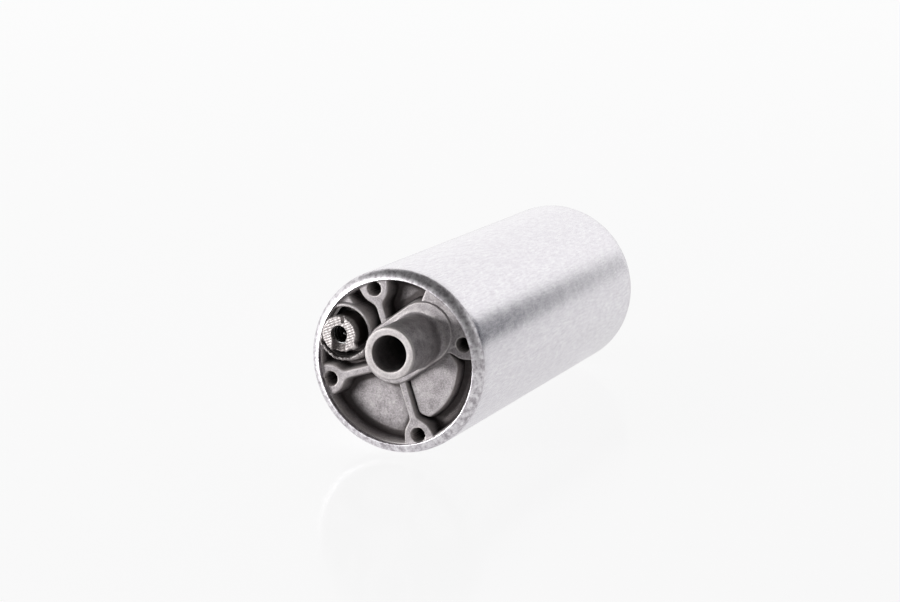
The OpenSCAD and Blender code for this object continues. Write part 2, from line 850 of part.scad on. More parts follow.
module flux_ring() {
    color("slategray") lay() translate([0, 0, bell_front_z]) difference() {
        cylinder(h = motor_len, r = body_r);
        translate([0, 0, -eps]) cylinder(h = motor_len + 2 * eps, r = body_r - flux_wall);
    }
}

module magnet(a) {
    color("dimgray") lay() translate([0, 0, motor_mid_z - magnet_len / 2])
        rotate(a - magnet_angle / 2) rotate_extrude(angle = magnet_angle)
            translate([magnet_bore_r, 0]) square([magnet_t, magnet_len]);
}

module magnet_left() {
    magnet(180);
}

module magnet_right() {
    magnet(0);
}

// Bent strips that push the magnet shells apart, one in each gap
module magnet_springs() {
    half = 90 - magnet_angle / 2;
    strip = 0.6;
    in_r = magnet_bore_r + 0.5;
    color("silver") lay() for (a = [90, 270])
        rotate(a) translate([0, 0, motor_mid_z - magnet_len / 2]) {
            rotate(-half + 1) rotate_extrude(angle = 2 * half - 2)
                translate([magnet_r - strip, 0]) square([strip, magnet_len]);
            for (side = [0, 1])
                mirror([0, side, 0]) rotate(half - 1)
                    translate([in_r, -strip, 0])
                        cube([magnet_r - in_r - strip / 2, strip, magnet_len]);
        }
}

module brush_hole(side) {
    w = brush_w + 2 * brush_gap;
    t = brush_t + 2 * brush_gap;
    translate([side * brush_x - w / 2, -t / 2, bell_floor_z - holder_depth])
        cube([w, t, holder_depth + bell_len]);
}

module end_bell() {
    color("darkslategray") lay() difference() {
        union() {
            mirror([0, 0, 1]) rotate_extrude() intersection() {
                tucked_half(-bell_front_z, -bell_back_z);
                translate([0, -bell_front_z]) square([body_r, bell_len]);
            }
            // Nozzle with its rounded tip and collar, and the raised pads behind the bell
            translate([0, outlet_y, outlet_tip_z]) rotate_extrude() {
                translate([0, tip_round])
                    square([outlet_d / 2, bell_back_z - outlet_tip_z - tip_round + eps]);
                square([outlet_d / 2 - tip_round, tip_round + eps]);
                translate([outlet_d / 2 - tip_round, tip_round]) circle(tip_round, $fn = 24);
            }
            translate([0, outlet_y, bell_back_z - collar_h])
                cylinder(h = collar_h + eps, r = outlet_d / 2 + collar_w);
            for (side = [-1, 1])
                translate([side * terminal_x, -terminal_y, bell_back_z - pad_h])
                    cylinder(h = pad_h + eps, r = pad_r);
            translate([-terminal_x, -terminal_y - bridge_w / 2, bell_back_z - pad_h])
                cube([2 * terminal_x, bridge_w, pad_h + eps]);
            translate([-back_rib_w / 2, -terminal_y, bell_back_z - collar_h])
                cube([back_rib_w, terminal_y + outlet_y - outlet_d / 2, collar_h + eps]);
        }
        // Shallow recess towards the motor, and the bush's blind bore
        translate([0, 0, bell_floor_z]) cylinder(h = bell_len, r = bell_recess_r);
        translate([0, 0, bell_floor_z - bush_len])
            cylinder(h = bell_len, d = bush_d + 2 * press_gap);
        for (side = [-1, 1])
            brush_hole(side);
        // Check valve chamber and outlet bore
        translate([0, outlet_y, chamber_floor_z]) cylinder(h = bell_len, d = chamber_d);
        translate([0, outlet_y, outlet_tip_z - eps])
            cylinder(h = bell_len + outlet_reach, d = outlet_bore_d);
        // Studs, their heads and the choke pockets
        for (side = [-1, 1]) {
            translate([side * terminal_x, -terminal_y, bell_back_z - 2 * pad_h])
                cylinder(
                    h = 2 * bell_len,
                    r = (side > 0 ? positive_d : negative_d) / 2 + knurl_rise + press_gap
                );
            translate([side * terminal_x, -terminal_y, bell_floor_z - head_t])
                cylinder(h = bell_len, r = head_r + fit_gap);
            translate([side * choke_xy[0], choke_xy[1], bell_floor_z - choke_len])
                cylinder(h = bell_len, r = choke_r + fit_gap);
        }
        seal_groove(bell_front_z - groove_from_end - groove_w / 2);
    }
}

module bell_seal() {
    color("black") lay()
        translate([0, 0, bell_front_z - groove_from_end - groove_w / 2]) seal_ring();
}

module brush(side) {
    color("black") lay()
        translate([side * brush_x - brush_w / 2, -brush_t / 2, brush_back_z])
            cube([brush_w, brush_t, brush_len]);
}

module brush_left() {
    brush(-1);
}

module brush_right() {
    brush(1);
}

module brush_spring(side) {
    color("silver") lay() translate([side * brush_x, 0, 0])
        coil(min(brush_w, brush_t) / 2 - brush_wire / 2 - 0.1, brush_wire,
            bell_floor_z - holder_depth, brush_back_z, 4);
}

module brush_spring_left() {
    brush_spring(-1);
}

module brush_spring_right() {
    brush_spring(1);
}

module check_seat() {
    color("goldenrod") lay() translate([0, outlet_y, check_seat_z]) difference() {
        cylinder(h = seat_t, d = chamber_d - 2 * press_gap);
        translate([0, 0, -eps]) cylinder(h = seat_t + 2 * eps, r = seat_bore_r);
    }
}

// A disc with a guide stem and four flats for the flow
module check_valve() {
    disc_r = check_coil_r + check_wire / 2;
    flat = 0.4;
    stem_len = 6;
    color("ivory") lay() translate([0, outlet_y, check_seat_z - poppet_t]) {
        difference() {
            cylinder(h = poppet_t, r = disc_r);
            for (i = [0:3])
                rotate(45 + 90 * i) translate([disc_r - flat, -can_r, -eps])
                    cube([can_r, can_d, poppet_t + 2 * eps]);
        }
        translate([0, 0, -stem_len]) cylinder(h = stem_len + eps, r = 1);
    }
}

module check_spring() {
    color("silver") lay() translate([0, outlet_y, 0])
        coil(check_coil_r, check_wire, chamber_floor_z, check_seat_z - poppet_t, 4);
}

// A ferrite rod in a close coil, with room left at both ends
module choke(side) {
    turns = 9;
    wire = 0.9;
    rod_end = 1.2;
    color("peru") lay()
        translate([side * choke_xy[0], choke_xy[1], bell_floor_z - choke_len]) {
            cylinder(h = choke_len - fit_gap, r = choke_r - wire);
            for (i = [0:turns - 1])
                translate([0, 0, rod_end + i * wire]) rotate_extrude()
                    translate([choke_r - wire / 2, 0]) circle(d = wire * 1.04, $fn = 16);
        }
}

module choke_positive() {
    choke(1);
}

module choke_negative() {
    choke(-1);
}

// A copper strip from the choke to the head of the stud
module link(side) {
    color("peru") lay() translate([0, 0, bell_floor_z])
        linear_extrude(link_t)
            slot_shape([side * choke_xy[0], choke_xy[1]], [side * terminal_x, -terminal_y],
                link_w / 2);
}

module link_positive() {
    link(1);
}

module link_negative() {
    link(-1);
}

// A stud with a flat head and a thicker shank in the bell; its thread is a plain
// cylinder of full diameter behind the nut, and of mean diameter inside the nut
module terminal(side, d) {
    thread_z = pad_face_z - washer_len - nut_share * d - nut_clear;
    color("goldenrod") lay() translate([side * terminal_x, -terminal_y, 0]) {
        translate([0, 0, bell_floor_z - head_t]) cylinder(h = head_t, r = head_r);
        translate([0, 0, pad_face_z])
            cylinder(h = bell_floor_z - pad_face_z - eps, r = d / 2 + knurl_rise);
        translate([0, 0, thread_z - eps])
            cylinder(h = pad_face_z - thread_z + 2 * eps, r = d / 2 - thread_depth);
        translate([0, 0, bell_back_z - stud_reach])
            cylinder(h = thread_z - bell_back_z + stud_reach, d = d);
    }
}

module terminal_positive() {
    terminal(1, positive_d);
}

module terminal_negative() {
    terminal(-1, negative_d);
}

module stud_washer(side, d) {
    color("silver") lay()
        translate([side * terminal_x, -terminal_y, pad_face_z - washer_len])
            difference() {
                cylinder(h = washer_len, d = 2 * d);
                translate([0, 0, -eps]) cylinder(h = washer_len + 2 * eps, d = d + 4 * fit_gap);
            }
}

module washer_positive() {
    stud_washer(1, positive_d);
}

module washer_negative() {
    stud_washer(-1, negative_d);
}

module stud_nut(side, d, across) {
    h = nut_share * d;
    color("silver") lay()
        translate([side * terminal_x, -terminal_y, pad_face_z - washer_len - h])
            hex_nut(across, h, d - 2 * thread_depth + 2 * fit_gap);
}

module nut_positive() {
    stud_nut(1, positive_d, positive_across);
}

module nut_negative() {
    stud_nut(-1, negative_d, negative_across);
}

can();
inlet_cover();
cover_seal();
relief_sleeve();
relief_ball();
relief_spring();
pump_ring();
gear_ring();
inner_rotor();
drive_pin();
port_plate();
dowel_pins();
pump_screws();
front_bush();
shaft();
front_washer();
armature_core();
windings();
commutator();
rear_washer();
rear_bush();
flux_ring();
magnet_left();
magnet_right();
magnet_springs();
end_bell();
bell_seal();
brush_left();
brush_right();
brush_spring_left();
brush_spring_right();
check_seat();
check_valve();
check_spring();
choke_positive();
choke_negative();
link_positive();
link_negative();
terminal_positive();
terminal_negative();
washer_positive();
washer_negative();
nut_positive();
nut_negative();
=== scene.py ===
"""Dresses the electric fuel pump: its drawn can, cast inlet cover, relief valve, studs and nuts, and the stage.

All sizes are in millimetres in the part's own frame, and become metres when a mesh is made.
The can's axis runs along Y with the inlet cover at -Y, +X to the right seen from there, and +Z up.
"""

import json
import math

import bpy
import numpy as np
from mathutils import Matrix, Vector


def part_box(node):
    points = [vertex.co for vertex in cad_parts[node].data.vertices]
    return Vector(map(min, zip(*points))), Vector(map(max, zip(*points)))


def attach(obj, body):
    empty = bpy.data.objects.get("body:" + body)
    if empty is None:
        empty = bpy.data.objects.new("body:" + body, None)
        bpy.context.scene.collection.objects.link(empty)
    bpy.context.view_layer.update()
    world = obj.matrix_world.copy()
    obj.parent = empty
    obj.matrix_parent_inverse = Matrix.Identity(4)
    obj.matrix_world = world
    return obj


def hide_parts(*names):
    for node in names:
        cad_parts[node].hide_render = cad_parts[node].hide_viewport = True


bl_info = {
    "name": "Electric Fuel Pump",
    "version": (1, 0, 0),
    "blender": (4, 5, 0),
    "location": "View3D > Sidebar > Fuel Pump",
    "description": "Builds the visible surfaces, finishes and stage of an in-line electric fuel pump",
    "category": "Object",
}

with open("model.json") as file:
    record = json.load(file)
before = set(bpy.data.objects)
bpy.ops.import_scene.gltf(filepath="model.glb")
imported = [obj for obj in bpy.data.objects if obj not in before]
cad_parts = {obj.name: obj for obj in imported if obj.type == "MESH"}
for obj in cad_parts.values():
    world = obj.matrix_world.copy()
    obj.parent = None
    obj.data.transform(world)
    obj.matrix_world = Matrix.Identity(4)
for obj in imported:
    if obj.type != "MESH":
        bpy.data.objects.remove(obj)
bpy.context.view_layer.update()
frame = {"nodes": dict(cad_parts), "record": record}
MM = 0.001


def box_mm(node):
    """Lowest and highest corner of a CAD node in millimetres."""
    return [np.array(corner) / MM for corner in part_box(node)]


def mount_mm(name):
    """Place of a mount in millimetres, and its sizes."""
    found = next(m for m in frame["record"]["mounts"] if m["name"] == name)
    return np.array(found["pos_m"]) / MM, found["dims"]


CAN_LOW, CAN_HIGH = box_mm("can")
CAN_R = CAN_HIGH[0]
LIP_Y = CAN_HIGH[1]
NOZZLE_AT, NOZZLE_SIZE = mount_mm("inlet_nozzle")
HOLES_AT, HOLES_SIZE = mount_mm("cover_holes")
NOZZLE_XZ = NOZZLE_AT[[0, 2]]
NOZZLE_R = NOZZLE_SIZE["r_mm"]
BORE_R = mount_mm("inlet_bore")[1]["r_mm"]
FACE_Y = -HOLES_AT[1]
HOLE_CIRCLE_R = HOLES_SIZE["pcd_mm"] / 2
HOLE_R = HOLES_SIZE["hole_r_mm"]
COVER_LOW, COVER_HIGH = box_mm("inlet_cover")
COVER_R = COVER_HIGH[0]
SLEEVE_LOW, SLEEVE_HIGH = box_mm("relief_sleeve")
RELIEF_XZ = (SLEEVE_LOW[[0, 2]] + SLEEVE_HIGH[[0, 2]]) / 2
SLEEVE_R = (SLEEVE_HIGH[0] - SLEEVE_LOW[0]) / 2
# The relief valve: radius of the sleeve's bore, of the ball's room behind it, of the sleeve's stem in the cover and
# of the ball's seat, then the wall in front of the room, the passage below the seat and the slope of both bores
SLEEVE_BORE_R = 2.05
SLEEVE_ROOM_R = 2.6
STEM_R = 3.55
BALL_SEAT_R = 1.2
NOSE_WALL = 1.4
PASSAGE_DEPTH = 1.4
BORE_WALL_SLOPE = 60.0
# The outlet end's face lies as far behind the middle of the can as the cover's face lies in front of it
BELL_BACK_Y = FACE_Y
# Where the signs of the poles stand on it, half the length and half the width of a bar, and its height
SIGN_X, SIGN_Z = 13.6, -2.6
SIGN_LONG, SIGN_SHORT, SIGN_RISE = 1.6, 0.4, 0.3


class PumpSizes(bpy.types.PropertyGroup):
    """Sizes of the cast cover's face and of the rolled lips, in millimetres."""

    lip_bend: bpy.props.FloatProperty(
        name="Lip bend", description="Outside radius of the roll at each end of the can", default=2.5, min=2.3)
    can_wall: bpy.props.FloatProperty(
        name="Can wall", description="Wall of the can", default=1.2, min=0.5)
    lip_r: bpy.props.FloatProperty(
        name="Lip opening", description="Radius of the opening inside the rolled lip", default=19.2, min=10.0)
    floor_depth: bpy.props.FloatProperty(
        name="Recess depth", description="Depth of the recess behind the cover's face", default=4.4, min=1.0)
    recess_r: bpy.props.FloatProperty(
        name="Recess radius", description="Radius of the recess in the cover's face", default=18.9, min=10.0)
    floor_fillet: bpy.props.FloatProperty(
        name="Floor fillet", description="Radius of the fillet round the recess floor", default=2.4, min=0.5)
    boss_r: bpy.props.FloatProperty(
        name="Boss radius", description="Radius of the boss round each blind hole", default=3.4, min=2.0)
    rib_width: bpy.props.FloatProperty(
        name="Rib width", description="Width of the ribs at their top", default=1.8, min=0.5)
    web_r: bpy.props.FloatProperty(
        name="Web radius", description="Radius of both ends of the raised web", default=7.0, min=6.5)
    web_rise: bpy.props.FloatProperty(
        name="Web rise", description="Height of the web above the face", default=0.5, min=0.0)
    platform_r: bpy.props.FloatProperty(
        name="Platform radius", description="Radius of the low platform's outer edge", default=15.1, min=10.0)
    platform_drop: bpy.props.FloatProperty(
        name="Platform drop", description="Depth of the low platform behind the face", default=1.1, min=0.2)
    ring_r: bpy.props.FloatProperty(
        name="Relief ring radius", description="Outside radius of the cast ring round the relief sleeve",
        default=6.75, min=5.0)
    ring_wall: bpy.props.FloatProperty(
        name="Relief ring wall", description="Wall of the cast ring round the relief sleeve", default=0.9, min=0.3)
    ring_depth: bpy.props.FloatProperty(
        name="Relief pocket depth", description="Depth of the pocket inside that ring, from the face",
        default=3.3, min=1.0)
    staked: bpy.props.FloatProperty(
        name="Staked edge", description="Height of the ring's torn, staked edge above the face", default=2.1, min=0.5)
    nozzle_fillet: bpy.props.FloatProperty(
        name="Nozzle fillet", description="Radius of the fillet round the suction nozzle's foot",
        default=0.9, min=0.2)
    positive_pitch: bpy.props.FloatProperty(
        name="Positive thread pitch", description="Pitch of the positive stud's thread", default=0.8, min=0.3)
    negative_pitch: bpy.props.FloatProperty(
        name="Negative thread pitch", description="Pitch of the negative stud's thread", default=0.7, min=0.3)


class PumpColours(bpy.types.PropertyGroup):
    """Base colours of the finishes that show, as sRGB."""

    can: bpy.props.StringProperty(
        name="Can", description="Drawn aluminium of the can, sRGB hex", default="#eeebf0")
    cast: bpy.props.StringProperty(
        name="Casting", description="Die-cast aluminium of the cover, sRGB hex", default="#979294")
    steel: bpy.props.StringProperty(
        name="Steel", description="Turned steel of the relief sleeve, sRGB hex", default="#b5b1af")
    plastic: bpy.props.StringProperty(
        name="Outlet end", description="Glass filled nylon of the outlet end, sRGB hex", default="#232325")
    floor: bpy.props.StringProperty(
        name="Floor", description="Gloss white floor under the pump, sRGB hex", default="#f4f2f5")


def linear(code, alpha=1.0):
    """Linear colour of an sRGB hex code: each channel through the sRGB curve, then alpha."""
    srgb = np.array([int(code[i:i + 2], 16) for i in (1, 3, 5)]) / 255
    made = np.where(srgb <= 0.04045, srgb / 12.92, ((srgb + 0.055) / 1.055) ** 2.4)
    return (*made.tolist(), alpha)


# Shapes


def quads_of(rows, cols, wrap_rows):
    """Corner numbers of the quads between neighbours of a grid numbered row by row, its columns in a loop."""
    index = np.arange(rows * cols).reshape(rows, cols)
    if wrap_rows:
        index = np.concatenate([index, index[:1]], axis=0)
    index = np.concatenate([index, index[:, :1]], axis=1)
    return np.stack([index[:-1, :-1], index[:-1, 1:], index[1:, 1:], index[1:, :-1]], axis=-1).reshape(-1, 4)


def make_piece(name, points, body, slot, wrap_rows=True, marks=None, sharp=None):
    """One mesh from a grid of points in millimetres, rows by columns by three: each cell is a quad.

    The columns always close into a loop. Rows that don't are closed by a flat face at each end. The sum of the
    volumes of the triangles to the origin tells whether the faces point outwards, and turns them if they don't.
    """
    rows, cols = points.shape[:2]
    faces = quads_of(rows, cols, wrap_rows).tolist()
    if not wrap_rows:
        faces += [list(range(cols))[::-1], list(range((rows - 1) * cols, rows * cols))]
    mesh = bpy.data.meshes.new(name)
    mesh.from_pydata((points.reshape(-1, 3) * MM).tolist(), [], faces)
    mesh.polygons.foreach_set("use_smooth", np.ones(len(faces), bool))
    for label, values in (marks or {}).items():
        layer = mesh.attributes.new(label, "FLOAT", "POINT")
        layer.data.foreach_set("value", values.astype(np.float32).ravel())
    mesh.materials.append(finish_for(slot))
    mesh.calc_loop_triangles()
    corners = np.empty(len(mesh.loop_triangles) * 3, np.int32)
    mesh.loop_triangles.foreach_get("vertices", corners)
    a, b, c = np.moveaxis(points.reshape(-1, 3)[corners.reshape(-1, 3)], 1, 0)
    if np.einsum("ij,ij->", a, np.cross(b, c)) < 0:
        mesh.flip_normals()
    mesh.update()
    if sharp:
        mesh.set_sharp_from_angle(angle=math.radians(sharp))
    made = bpy.data.objects.new(name, mesh)
    bpy.context.scene.collection.objects.link(made)
    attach(made, body)
    return made


def around(centre_xz, radius, turn):
    """Points on a circle in the X-Z plane: centre plus radius times cosine and sine of the angle."""
    return centre_xz[0] + radius * np.cos(turn), centre_xz[1] + radius * np.sin(turn)


def lathe(profile, sides, centre_xz=(0.0, 0.0)):
    """Surface of revolution along Y: each profile point (radius, y) goes round the centre in equal steps."""
    turn = np.linspace(0, 2 * np.pi, sides, endpoint=False)
    radius = np.asarray(profile, float)[:, :1]
    x, z = around(centre_xz, radius, turn[None, :])
    y = np.broadcast_to(np.asarray(profile, float)[:, 1:], x.shape)
    return np.stack([x, y, z], axis=-1)


def arc(centre, radius, start, end, steps):
    """Points (radius, y) on an arc from start to end, in degrees from the outward direction towards +Y."""
    turn = np.radians(np.linspace(start, end, steps))
    return np.stack([centre[0] + radius * np.cos(turn), centre[1] + radius * np.sin(turn)], axis=-1)


def line(start, end, steps):
    """Points evenly spaced from start to end, the end left out."""
    share = np.linspace(0, 1, steps, endpoint=False)[:, None]
    return np.asarray(start, float) * (1 - share) + np.asarray(end, float) * share


# Heights of the cast face


def soft_step(d, width):
    """Soft ramp: 0 well inside an outline, d well outside, bent over the given width."""
    return width * np.logaddexp(0, d / width)


def soft_max(a, b, blend):
    """The higher of two heights, with a fillet about as tall as blend where they cross."""
    share = np.clip(0.5 + 0.5 * (a - b) / blend, 0, 1)
    return b + (a - b) * share + blend * share * (1 - share)


def soft_min(a, b, blend):
    """The lower of two heights, rounded where they cross."""
    return -soft_max(-a, -b, blend)


def smooth(value, low, high):
    """Eased step: 0 up to low, 1 from high on, with level ends."""
    share = np.clip((value - low) / (high - low), 0, 1)
    return share * share * (3 - 2 * share)


def ragged(turn, seed, waves):
    """Uneven line round a circle, from -1 to 1: the mean of sine waves, each with its own count and start."""
    starts = np.random.RandomState(seed).uniform(0, 2 * np.pi, len(waves))
    return np.sin(turn[..., None] * np.array(waves) + starts).mean(axis=-1)


def to_disc(x, z, centre, radius):
    """Signed distance to a disc: below 0 inside."""
    return np.hypot(x - centre[0], z - centre[1]) - radius


def to_bar(x, z, start, end, radius):
    """Signed distance to a bar with round ends."""
    start, end = np.asarray(start, float), np.asarray(end, float)
    along = end - start
    share = np.clip(((x - start[0]) * along[0] + (z - start[1]) * along[1]) / (along @ along), 0, 1)
    return np.hypot(x - start[0] - share * along[0], z - start[1] - share * along[1]) - radius


def to_sector(x, z, low, high):
    """Signed distance to the wedge between two rays from the axis, less than half a turn apart."""
    a, b = math.radians(low), math.radians(high)
    return np.maximum(x * math.sin(a) - z * math.cos(a), z * math.cos(b) - x * math.sin(b))


# The first blind hole stands this many degrees above +X, and the others follow a quarter turn apart
HOLE_ANGLE = 18.0
HOLE_DEPTH = 7.4
HOLE_WALL_SLOPE = 26.0
POCKET_WALL_SLOPE = 9.0
# Fall of a cast wall for each millimetre outwards, and the width over which its top edge is rounded
DRAFT = 7.0
EDGE = 0.07
CUT_EDGE = 0.04
CUT_BLEND = 0.25
# The ends of the raised web: on the hub, and under the suction nozzle
HUB_XZ = np.array([-0.8, 1.9])
PAD_XZ = NOZZLE_XZ + [1.5, 2.0]
RING_RISE = 0.65
INNER_FILL_R = 10.3
PLATFORM_TO_HOLE = 4.2


def raised(d, top):
    """A cast form that stands up to the height top inside its outline and falls off steeply outside."""
    return top - DRAFT * soft_step(d, EDGE)


def polar(radius, angle):
    """Point in the X-Z plane at a radius and an angle in degrees."""
    return radius * np.array([math.cos(math.radians(angle)), math.sin(math.radians(angle))])


def cast_height(x, z, size):
    """Height of the cover's face at a point, from the level of its rim.

    The floor of a round recess with its wall, then each raised form in turn, joined with small fillets.
    """
    r = np.hypot(x, z)
    fillet_start = size.recess_r - size.floor_fillet
    inside = np.clip(r - fillet_start, 0, size.floor_fillet)
    floor = -size.floor_depth + size.floor_fillet - np.sqrt(size.floor_fillet ** 2 - inside ** 2 + 1e-9)
    height = soft_max(floor, raised(size.recess_r - r, 0.0), 0.3)
    forms = []
    for i in range(4):
        angle = HOLE_ANGLE + 90 * i
        boss = to_disc(x, z, polar(HOLE_CIRCLE_R, angle), size.boss_r)
        ear = to_bar(x, z, polar(HOLE_CIRCLE_R + 2.2, angle), polar(HOLE_CIRCLE_R + 5, angle), size.boss_r + 0.6)
        rib = to_bar(x, z, (0, 0), polar(HOLE_CIRCLE_R - 1, angle), size.rib_width / 2)
        forms.append(soft_min(soft_min(boss, ear, 0.8), rib, 1.6))
    forms.append(np.maximum(to_sector(x, z, HOLE_ANGLE, HOLE_ANGLE + 49), -r))
    ring = to_disc(x, z, RELIEF_XZ, size.ring_r)
    beside = np.maximum(to_sector(x, z, HOLE_ANGLE + 111, HOLE_ANGLE + 158), np.hypot(*RELIEF_XZ) - r)
    forms.append(soft_min(beside, ring, 0.5))
    forms.append(np.maximum(to_sector(x, z, HOLE_ANGLE + 70, HOLE_ANGLE + 92), r - INNER_FILL_R))
    for form in forms:
        height = soft_max(height, raised(form, 0.0), 0.6)
    height = soft_max(height, raised(ring, RING_RISE), 0.4)
    rib = to_bar(x, z, (0, 0), polar(HOLE_CIRCLE_R, HOLE_ANGLE - 90), size.rib_width / 2 + 0.2)
    boss = to_disc(x, z, polar(HOLE_CIRCLE_R, HOLE_ANGLE - 90), size.boss_r + 0.9)
    platform = np.maximum(to_sector(x, z, HOLE_ANGLE - 95, HOLE_ANGLE), -soft_min(rib, boss, 1.0))
    near_hole = PLATFORM_TO_HOLE - to_disc(x, z, polar(HOLE_CIRCLE_R, HOLE_ANGLE), 0)
    platform = soft_max(platform, soft_max(r - size.platform_r, near_hole, 1.5), 0.8)
    height = soft_max(height, raised(platform + 0.3, -size.platform_drop), 0.3)
    web = to_bar(x, z, HUB_XZ, PAD_XZ, size.web_r)
    return soft_max(height, raised(web, size.web_rise), 0.5)


def cut_height(height, d, bottom, slope):
    """Lowers the height to bottom inside an outline: the wall comes up to the rim just inside it."""
    reach = -bottom / slope
    return soft_min(height, bottom + slope * soft_step(d + reach, CUT_EDGE), CUT_BLEND)


def face_height(x, z, size):
    """The cast face with the four blind holes and the pocket round the relief sleeve cut into it."""
    height = cast_height(x, z, size)
    pocket = to_disc(x, z, RELIEF_XZ, size.ring_r - size.ring_wall)
    pocket = np.maximum(pocket, np.hypot(x, z) - size.recess_r)
    height = cut_height(height, pocket, -size.ring_depth, POCKET_WALL_SLOPE)
    for i in range(4):
        hole = to_disc(x, z, polar(HOLE_CIRCLE_R, HOLE_ANGLE + 90 * i), HOLE_R)
        height = cut_height(height, hole, -HOLE_DEPTH, HOLE_WALL_SLOPE)
    return height


def face_marks(x, z, height, size):
    """Where the face's edges are worn and where its recesses get painted shade and dirt, each from 0 to 1.

    Wear: the height above the mean of eight points close by. Painted shade and dirt: the depth below the mean of
    eight points further off and, for about a third as much, of eight further still.
    """
    turn = np.arange(8) * np.pi / 4

    def mean_at(reach):
        return sum(face_height(x + reach * math.cos(a), z + reach * math.sin(a), size) for a in turn) / 8

    wear_and_highlight = np.clip((height - mean_at(0.3)) / 0.22, 0, 1)
    shade_and_dirt = np.clip((mean_at(1.7) + 0.35 * mean_at(3.5) - 1.35 * height - 0.15) / 1.45, 0, 1)
    return wear_and_highlight, shade_and_dirt


# The back of the cover: two ports round the toothed ring's own centre, and the groove to the relief valve
PORT_XZ = polar(0.55, -45)
PORT_R = 8.45
PORT_HALF_WIDTH = 1.5
PORT_HALF_ANGLE = 64
PORT_DEPTH = 3.4
GROOVE_DEPTH = 1.5
GROOVE_HALF_WIDTH = 1.15
PORT_WALL_SLOPE = 8.0
# The screw and dowel holes behind the pump ring, on one circle: the angle, radius and depth of each
FIXING_CIRCLE_R = 16.5
FIXINGS = ((60, 1.55, 3.6), (180, 1.55, 3.6), (300, 1.55, 3.6), (120, 1.51, 3.0), (240, 1.51, 3.0))
FIXING_WALL_SLOPE = 20.0


def back_height(x, z):
    """Depth of the ports and holes in the cover's back, below 0 where they are cut in."""
    dx, dz = x - PORT_XZ[0], z - PORT_XZ[1]
    band = np.abs(np.hypot(dx, dz) - PORT_R) - PORT_HALF_WIDTH
    height = np.zeros_like(x)
    for centre, depth in ((45, PORT_DEPTH), (225, GROOVE_DEPTH)):
        port = np.maximum(band, to_sector(dx, dz, centre - PORT_HALF_ANGLE, centre + PORT_HALF_ANGLE))
        height = cut_height(height, port, -depth, PORT_WALL_SLOPE)
    groove = to_bar(x, z, polar(PORT_R, 168), RELIEF_XZ, GROOVE_HALF_WIDTH)
    height = cut_height(height, groove, -GROOVE_DEPTH, PORT_WALL_SLOPE)
    height = cut_height(height, to_disc(x, z, NOZZLE_XZ, BORE_R), -PORT_DEPTH, PORT_WALL_SLOPE)
    for angle, radius, depth in FIXINGS:
        hole = to_disc(x, z, polar(FIXING_CIRCLE_R, angle), radius)
        height = cut_height(height, hole, -depth, FIXING_WALL_SLOPE)
    return height


